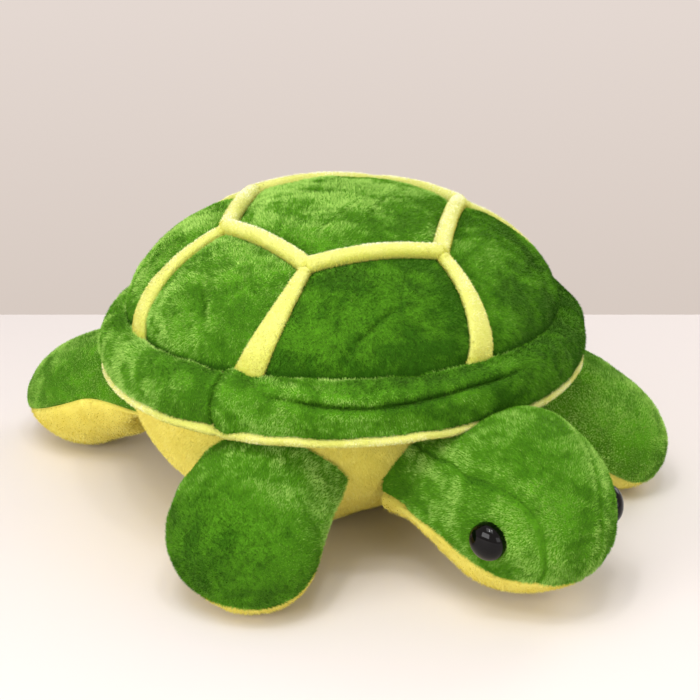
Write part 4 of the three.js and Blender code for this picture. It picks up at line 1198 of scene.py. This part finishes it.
def head():
    """Head: one egg surface whose seams are pressed in, plump beside them, then cut along the seams
    into its four pieces."""
    u, v = grid(*GRIDS["head"])
    out = lerp(-HEAD_ROOT, size("head_length"), crowded(v))
    turn = lerp(-np.pi, np.pi, u)
    flat, across, up, ahead = head_point(out, turn)
    ax, _, _ = head_frame()
    centre = HEAD_PIVOT + ax * 60
    normals = Skin(flat, centre, last_pole=True).normals.reshape(flat.shape)
    from_middle = across + CROWN_SHIFT * smooth((out - 20) / 40)
    crown_gap = np.abs(from_middle) - crown_half(out, up)
    chin_gap = up - chin_height(ahead)
    green = chin_gap > 0
    crown = green & ((up > 0) | (out > 70))
    pressed = np.where(crown, 0.5 * bell(crown_gap, 0.7), 0) + bell(chin_gap, 1.5)
    plump = 0.45 * np.where(green, bell(np.abs(crown_gap) - 8, 6), 0)
    # A short dart runs back from the crown at the far seam
    dart_gap = np.abs(across + 9 - (out - 47) * 0.245)
    dart = bell(dart_gap, 1.0) * smooth((out - 40) / 5) * smooth((75 - out) / 8) * (up > 20)
    dents = 1.2 * noise(flat, 30, 2) + 0.45 * noise(flat, 11, 0)
    push = plump + dents * smooth(np.abs(crown_gap) / 12) - 2.6 * pressed - 1.0 * dart
    points = flat + normals * push[..., None]
    points[..., 2] = np.maximum(points[..., 2], FLOOR_CLEARANCE)
    skin = Skin(points, centre, last_pole=True)
    crown_seam = np.where(crown, abs(crown_gap) * 1.6, NO_SEAM)
    dart_seam = lerp(NO_SEAM, 0.6, dart > 0.3)
    skin.seam = np.minimum(np.minimum(crown_seam, abs(chin_gap)), dart_seam).reshape(-1)
    skin.tone = (0.03 + 0.13 * bell(np.abs(crown_gap) - 4.5, 2.6) * crown).reshape(-1)
    skin.patchy = LIMB_PATCHY
    under = centres(chin_gap) < 0
    strip = ~under & (centres(crown_gap) < 0)
    left = ~under & ~strip & (centres(from_middle) > 0)
    right = ~under & ~strip & (centres(from_middle) <= 0)

    def bend(piece):
        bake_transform(piece)

    nodes = ["head_gusset", "head_stuffing"]
    dress("soft_head_gusset", skin.part(strip), "green", nodes, bend, -ax)
    dress("soft_head_side_left", skin.part(left), "green", ["head_side_left"], bend, -ax)
    dress("soft_head_side_right", skin.part(right), "green", ["head_side_right"], bend, -ax)
    dress("soft_head_underside", skin.part(under), "yellow", ["head_underside"], bend, ax)


# Where an eye sits: distance along the head and angle from the crown
EYE_ALONG, EYE_AROUND = 80.0, math.radians(94)
# Steps along and round the head between which its surface's slope under an eye is taken
EYE_STEP_ALONG, EYE_STEP_AROUND = 12, 0.19
# Height of the eye's straight rim and of its dome, depth of its foot, and share of rows in the rim
EYE_RIM, EYE_DOME, EYE_FOOT, EYE_RIM_ROWS = 2.6, 7.4, 2.0, 0.16


def eyes():
    """Domed eyes: a short rim and a quarter ellipse turned about the line that faces out of the
    head, which is the cross product of two steps on its surface."""
    material = eye_material()
    for word, side in (("right", -1), ("left", 1)):
        steps = np.array([(0, 0), (EYE_STEP_ALONG, 0), (-EYE_STEP_ALONG, 0), (0, EYE_STEP_AROUND),
                          (0, -EYE_STEP_AROUND)])
        at = head_point(EYE_ALONG + steps[:, 0], EYE_AROUND * side + steps[:, 1])[0]
        facing = unit(np.cross(at[1] - at[2], at[3] - at[4]))
        facing = facing * np.sign(facing[0]) * side
        u, v = grid(*GRIDS["eye"])
        climb = np.pi / 2 * np.clip((v - EYE_RIM_ROWS) / (1 - EYE_RIM_ROWS), 0, 1)
        radius = size("eye_radius") * np.cos(climb)
        rise = np.where(v < EYE_RIM_ROWS, lerp(-EYE_FOOT, EYE_RIM, v / EYE_RIM_ROWS),
                        EYE_RIM + EYE_DOME * np.sin(climb))
        first = unit(np.cross(facing, [0, 0, 1.0]))
        second = np.cross(facing, first)
        points = (at[0] + facing * rise[..., None] + first * (radius * np.cos(u * TURN))[..., None]
                  + second * (radius * np.sin(u * TURN))[..., None])
        skin = Skin(points, at[0], last_pole=True)
        eye = skin_object(f"safety_eye_{word}", skin, material)
        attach(eye, "head")
        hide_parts(f"eye_{word}")


# ---------------------------------------------------------------- tail

TAIL_PIVOT = np.array([0, 143.3, 60.0])
# Reach of its root into the body, and half its width and thickness
TAIL_ROOT, TAIL_HALF_WIDTH, TAIL_HALF_HEIGHT = 12, 15, 10
# Way the tail's pile lies
TAIL_LAY = (0, 1, 0)


def tail():
    """Short tail: an ellipsoid cut off inside the body, green above and yellow below."""
    u, v = grid(*GRIDS["tail"])
    out = lerp(-TAIL_ROOT, size("tail_length"), crowded(v))
    turn = lerp(-np.pi / 2, 1.5 * np.pi, u)
    round_off = np.sqrt(1 - np.clip(out / size("tail_length"), 0, 1) ** 2)
    across = TAIL_HALF_WIDTH * round_off * np.sin(turn)
    up = TAIL_HALF_HEIGHT * round_off * np.cos(turn)
    skin = Skin(TAIL_PIVOT + np.stack([across, out, up], -1), TAIL_PIVOT, last_pole=True)
    skin.seam = abs(up).reshape(-1)
    top = np.cos(centres(turn)) > 0

    def bend(piece):
        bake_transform(piece)

    dress("soft_tail_top", skin.part(top), "green", ["tail_top"], bend, TAIL_LAY)
    dress("soft_tail_bottom", skin.part(~top), "yellow", ["tail_bottom"], bend, TAIL_LAY)


# ---------------------------------------------------------------- stage

CAMERA_AZIMUTH, CAMERA_ELEVATION = math.radians(-38.32), math.radians(21.5)
# The camera's place back, to its right and up from the turtle's foot, in mm
CAMERA_PLACE = (1400, 5.09, 100.11)
CAMERA_LENS, CAMERA_SENSOR, CAMERA_REACH = 101.33, 36, 50
# The table's far edge, near edge and half length, as the camera looks at it
TABLE_FAR, TABLE_NEAR, TABLE_HALF = 358, -2500, 3000
LAMP_TARGET = (0, -20, 90)
# Softboxes: name, place in mm, width and height in mm, and watts
LAMPS = (
    ("softbox overhead", (-480, -380, 1350), (900, 900), 6.8),
    ("softbox left", (-1400, -300, 600), (900, 600), 9.4),
    ("softbox front", (-100, -1600, 500), (1000, 600), 3.7),
    ("softbox right", (1200, 0, 800), (700, 700), 4.5),
    ("ceiling lamp 1", (-560, -380, 1500), (120, 120), 2.0),
    ("ceiling lamp 2", (-300, -640, 1500), (120, 120), 2.0),
    ("ceiling lamp 3", (-860, -560, 1500), (120, 120), 2.0),
)
# Light from all round: its colour, and its strength between two heights of the sky's direction
WORLD_COLOUR = (1.0, 0.975, 0.97, 1)
WORLD_HEIGHTS, WORLD_RANGE = (-0.1, 0.9), (0.585, 0.625)
# Directions' heights between which the wall goes from its low to its high colour
WALL_HEIGHTS = (-0.36, -0.2)


def stage_camera():
    """Camera on a ray from the object at an azimuth and elevation. Returns the level directions
    away from it and to its right."""
    cos_e = math.cos(CAMERA_ELEVATION)
    back = np.array([math.sin(CAMERA_AZIMUTH) * cos_e, -math.cos(CAMERA_AZIMUTH) * cos_e,
                     math.sin(CAMERA_ELEVATION)])
    right = np.array([math.cos(CAMERA_AZIMUTH), math.sin(CAMERA_AZIMUTH), 0])
    up = np.cross(back, right)
    place = back * CAMERA_PLACE[0] + right * CAMERA_PLACE[1] + up * CAMERA_PLACE[2]
    camera = bpy.data.objects.new("camera", bpy.data.cameras.new("camera"))
    camera.data.lens = CAMERA_LENS
    camera.data.sensor_width = CAMERA_SENSOR
    camera.data.clip_end = CAMERA_REACH
    rows = [[right[k], up[k], back[k], place[k] * MM] for k in range(3)]
    camera.matrix_world = Matrix(rows + [[0, 0, 0, 1]])
    bpy.context.scene.collection.objects.link(camera)
    bpy.context.scene.camera = camera
    return -np.array([back[0], back[1], 0]) / cos_e, right


def stage_world():
    """Even studio light for the object, and the wall's two colours for the camera, for mirrors and
    for what is seen through."""
    world = bpy.data.worlds.new("studio")
    bpy.context.scene.world = world
    world.use_nodes = True
    tree = world.node_tree
    tree.nodes.clear()
    place = add_node(tree, "ShaderNodeTexCoord")
    split = add_node(tree, "ShaderNodeSeparateXYZ", [(place.outputs["Generated"], 0)])
    rise = add_node(tree, "ShaderNodeMapRange", [(split.outputs["Z"], "Value")],
                    **{"From Min": WALL_HEIGHTS[0], "From Max": WALL_HEIGHTS[1]})
    shade = add_node(tree, "ShaderNodeMix", [(rise.outputs[0], "Factor")], data_type="RGBA")
    shade.inputs[6].default_value = colour_of("wall_low")
    shade.inputs[7].default_value = colour_of("wall_high")
    dim = add_node(tree, "ShaderNodeMapRange", [(split.outputs["Z"], "Value")],
                   **{"From Min": WORLD_HEIGHTS[0], "From Max": WORLD_HEIGHTS[1],
                      "To Min": WORLD_RANGE[0], "To Max": WORLD_RANGE[1]})
    light = add_node(tree, "ShaderNodeBackground", [(dim.outputs[0], "Strength")],
                     Color=WORLD_COLOUR)
    wall = add_node(tree, "ShaderNodeBackground", [(shade.outputs[2], "Color")], Strength=1.0)
    path = add_node(tree, "ShaderNodeLightPath")
    seen = path.outputs["Is Camera Ray"]
    for ray in ("Is Glossy Ray", "Is Transmission Ray"):
        either = add_node(tree, "ShaderNodeMath", [(seen, 0), (path.outputs[ray], 1)],
                          operation="MAXIMUM")
        seen = either.outputs[0]
    mix = add_node(tree, "ShaderNodeMixShader", [(seen, 0)])
    tree.links.new(light.outputs[0], mix.inputs[1])
    tree.links.new(wall.outputs[0], mix.inputs[2])
    add_node(tree, "ShaderNodeOutputWorld", [(mix.outputs[0], "Surface")])


def stage():
    """Pale table with a straight far edge, pale wall colour behind, softboxes and the camera."""
    ahead, across = stage_camera()
    sides = ((TABLE_NEAR, -1), (TABLE_NEAR, 1), (TABLE_FAR, 1), (TABLE_FAR, -1))
    corners = np.array([ahead * along + across * TABLE_HALF * side for along, side in sides])
    table, _, _ = build_mesh("table", corners, np.array([[0, 1, 2, 3]]))
    table.data.materials.append(table_material())
    stage_world()
    for name, place, box, power in LAMPS:
        data = bpy.data.lights.new(name, "AREA")
        data.shape = "RECTANGLE"
        data.size, data.size_y = box[0] * MM, box[1] * MM
        data.energy = power
        lamp = bpy.data.objects.new(name, data)
        bpy.context.scene.collection.objects.link(lamp)
        lamp.location = Vector(place) * MM
        lamp.rotation_mode = "QUATERNION"
        lamp.rotation_quaternion = (Vector(LAMP_TARGET) - Vector(place)).to_track_quat("-Z", "Y")
    bpy.context.scene.view_settings.view_transform = "Standard"


# ---------------------------------------------------------------- operators and panel

class TURTLE_OT_stage(bpy.types.Operator):
    """Table, wall colour, softboxes and camera"""
    bl_idname = "turtle.stage"
    bl_label = "Stage"

    def execute(self, context):
        stage()
        return {"FINISHED"}


class TURTLE_OT_shell_panels(bpy.types.Operator):
    """Seven puffed green panels of the dome"""
    bl_idname = "turtle.shell_panels"
    bl_label = "Shell panels"

    def execute(self, context):
        shell_panels()
        return {"FINISHED"}


class TURTLE_OT_shell_strips(bpy.types.Operator):
    """Hexagon rolls and ribs on the dome"""
    bl_idname = "turtle.shell_strips"
    bl_label = "Shell strips"

    def execute(self, context):
        shell_strips()
        return {"FINISHED"}


class TURTLE_OT_rim(bpy.types.Operator):
    """Rolled rim band in two lengths"""
    bl_idname = "turtle.rim"
    bl_label = "Rim band"

    def execute(self, context):
        rim()
        return {"FINISHED"}


class TURTLE_OT_rim_lip(bpy.types.Operator):
    """Yellow lip under the rim in two lengths"""
    bl_idname = "turtle.rim_lip"
    bl_label = "Rim lip"

    def execute(self, context):
        rim_lip()
        return {"FINISHED"}


class TURTLE_OT_body(bpy.types.Operator):
    """Yellow side wall and belly"""
    bl_idname = "turtle.body"
    bl_label = "Body"

    def execute(self, context):
        body()
        return {"FINISHED"}


class TURTLE_OT_flippers(bpy.types.Operator):
    """Four flippers, green above and yellow below"""
    bl_idname = "turtle.flippers"
    bl_label = "Flippers"

    def execute(self, context):
        flippers()
        return {"FINISHED"}


class TURTLE_OT_head(bpy.types.Operator):
    """Head with crown strip, cheeks and yellow chin"""
    bl_idname = "turtle.head"
    bl_label = "Head"

    def execute(self, context):
        head()
        return {"FINISHED"}


class TURTLE_OT_eyes(bpy.types.Operator):
    """Two domed safety eyes"""
    bl_idname = "turtle.eyes"
    bl_label = "Eyes"

    def execute(self, context):
        eyes()
        return {"FINISHED"}


class TURTLE_OT_tail(bpy.types.Operator):
    """Short tail"""
    bl_idname = "turtle.tail"
    bl_label = "Tail"

    def execute(self, context):
        tail()
        return {"FINISHED"}


OPERATORS = (
    TURTLE_OT_stage, TURTLE_OT_shell_panels, TURTLE_OT_shell_strips, TURTLE_OT_rim,
    TURTLE_OT_rim_lip, TURTLE_OT_body, TURTLE_OT_flippers, TURTLE_OT_head, TURTLE_OT_eyes,
    TURTLE_OT_tail,
)
SETTINGS = {"turtle_sizes": TurtleSizes, "turtle_pile": TurtlePile, "turtle_colours": TurtleColours}


class TURTLE_PT_panel(bpy.types.Panel):
    """Sizes, pile, colours and the steps that build the turtle"""
    bl_idname = "TURTLE_PT_panel"
    bl_label = "Plush turtle"
    bl_space_type = "VIEW_3D"
    bl_region_type = "UI"
    bl_category = "Turtle"

    def draw(self, context):
        for operator in OPERATORS:
            self.layout.operator(operator.bl_idname)
        for name, group in SETTINGS.items():
            box = self.layout.box()
            for field in group.__annotations__:
                box.prop(getattr(context.scene, name), field)


CLASSES = (TurtleSizes, TurtlePile, TurtleColours) + OPERATORS + (TURTLE_PT_panel,)


def register():
    """Registers the settings, the operators and the panel."""
    for cls in CLASSES:
        bpy.utils.register_class(cls)
    for name, group in SETTINGS.items():
        setattr(bpy.types.Scene, name, PointerProperty(type=group))


def unregister():
    """Takes back what register added."""
    for name in SETTINGS:
        delattr(bpy.types.Scene, name)
    for cls in reversed(CLASSES):
        bpy.utils.unregister_class(cls)


def main():
    """Registers the classes and builds the turtle piece by piece."""
    register()
    bpy.ops.turtle.stage()
    bpy.ops.turtle.shell_panels()
    bpy.ops.turtle.shell_strips()
    bpy.ops.turtle.rim()
    bpy.ops.turtle.rim_lip()
    bpy.ops.turtle.body()
    bpy.ops.turtle.flippers()
    bpy.ops.turtle.head()
    bpy.ops.turtle.eyes()
    bpy.ops.turtle.tail()


if __name__ == "__main__":
    main()
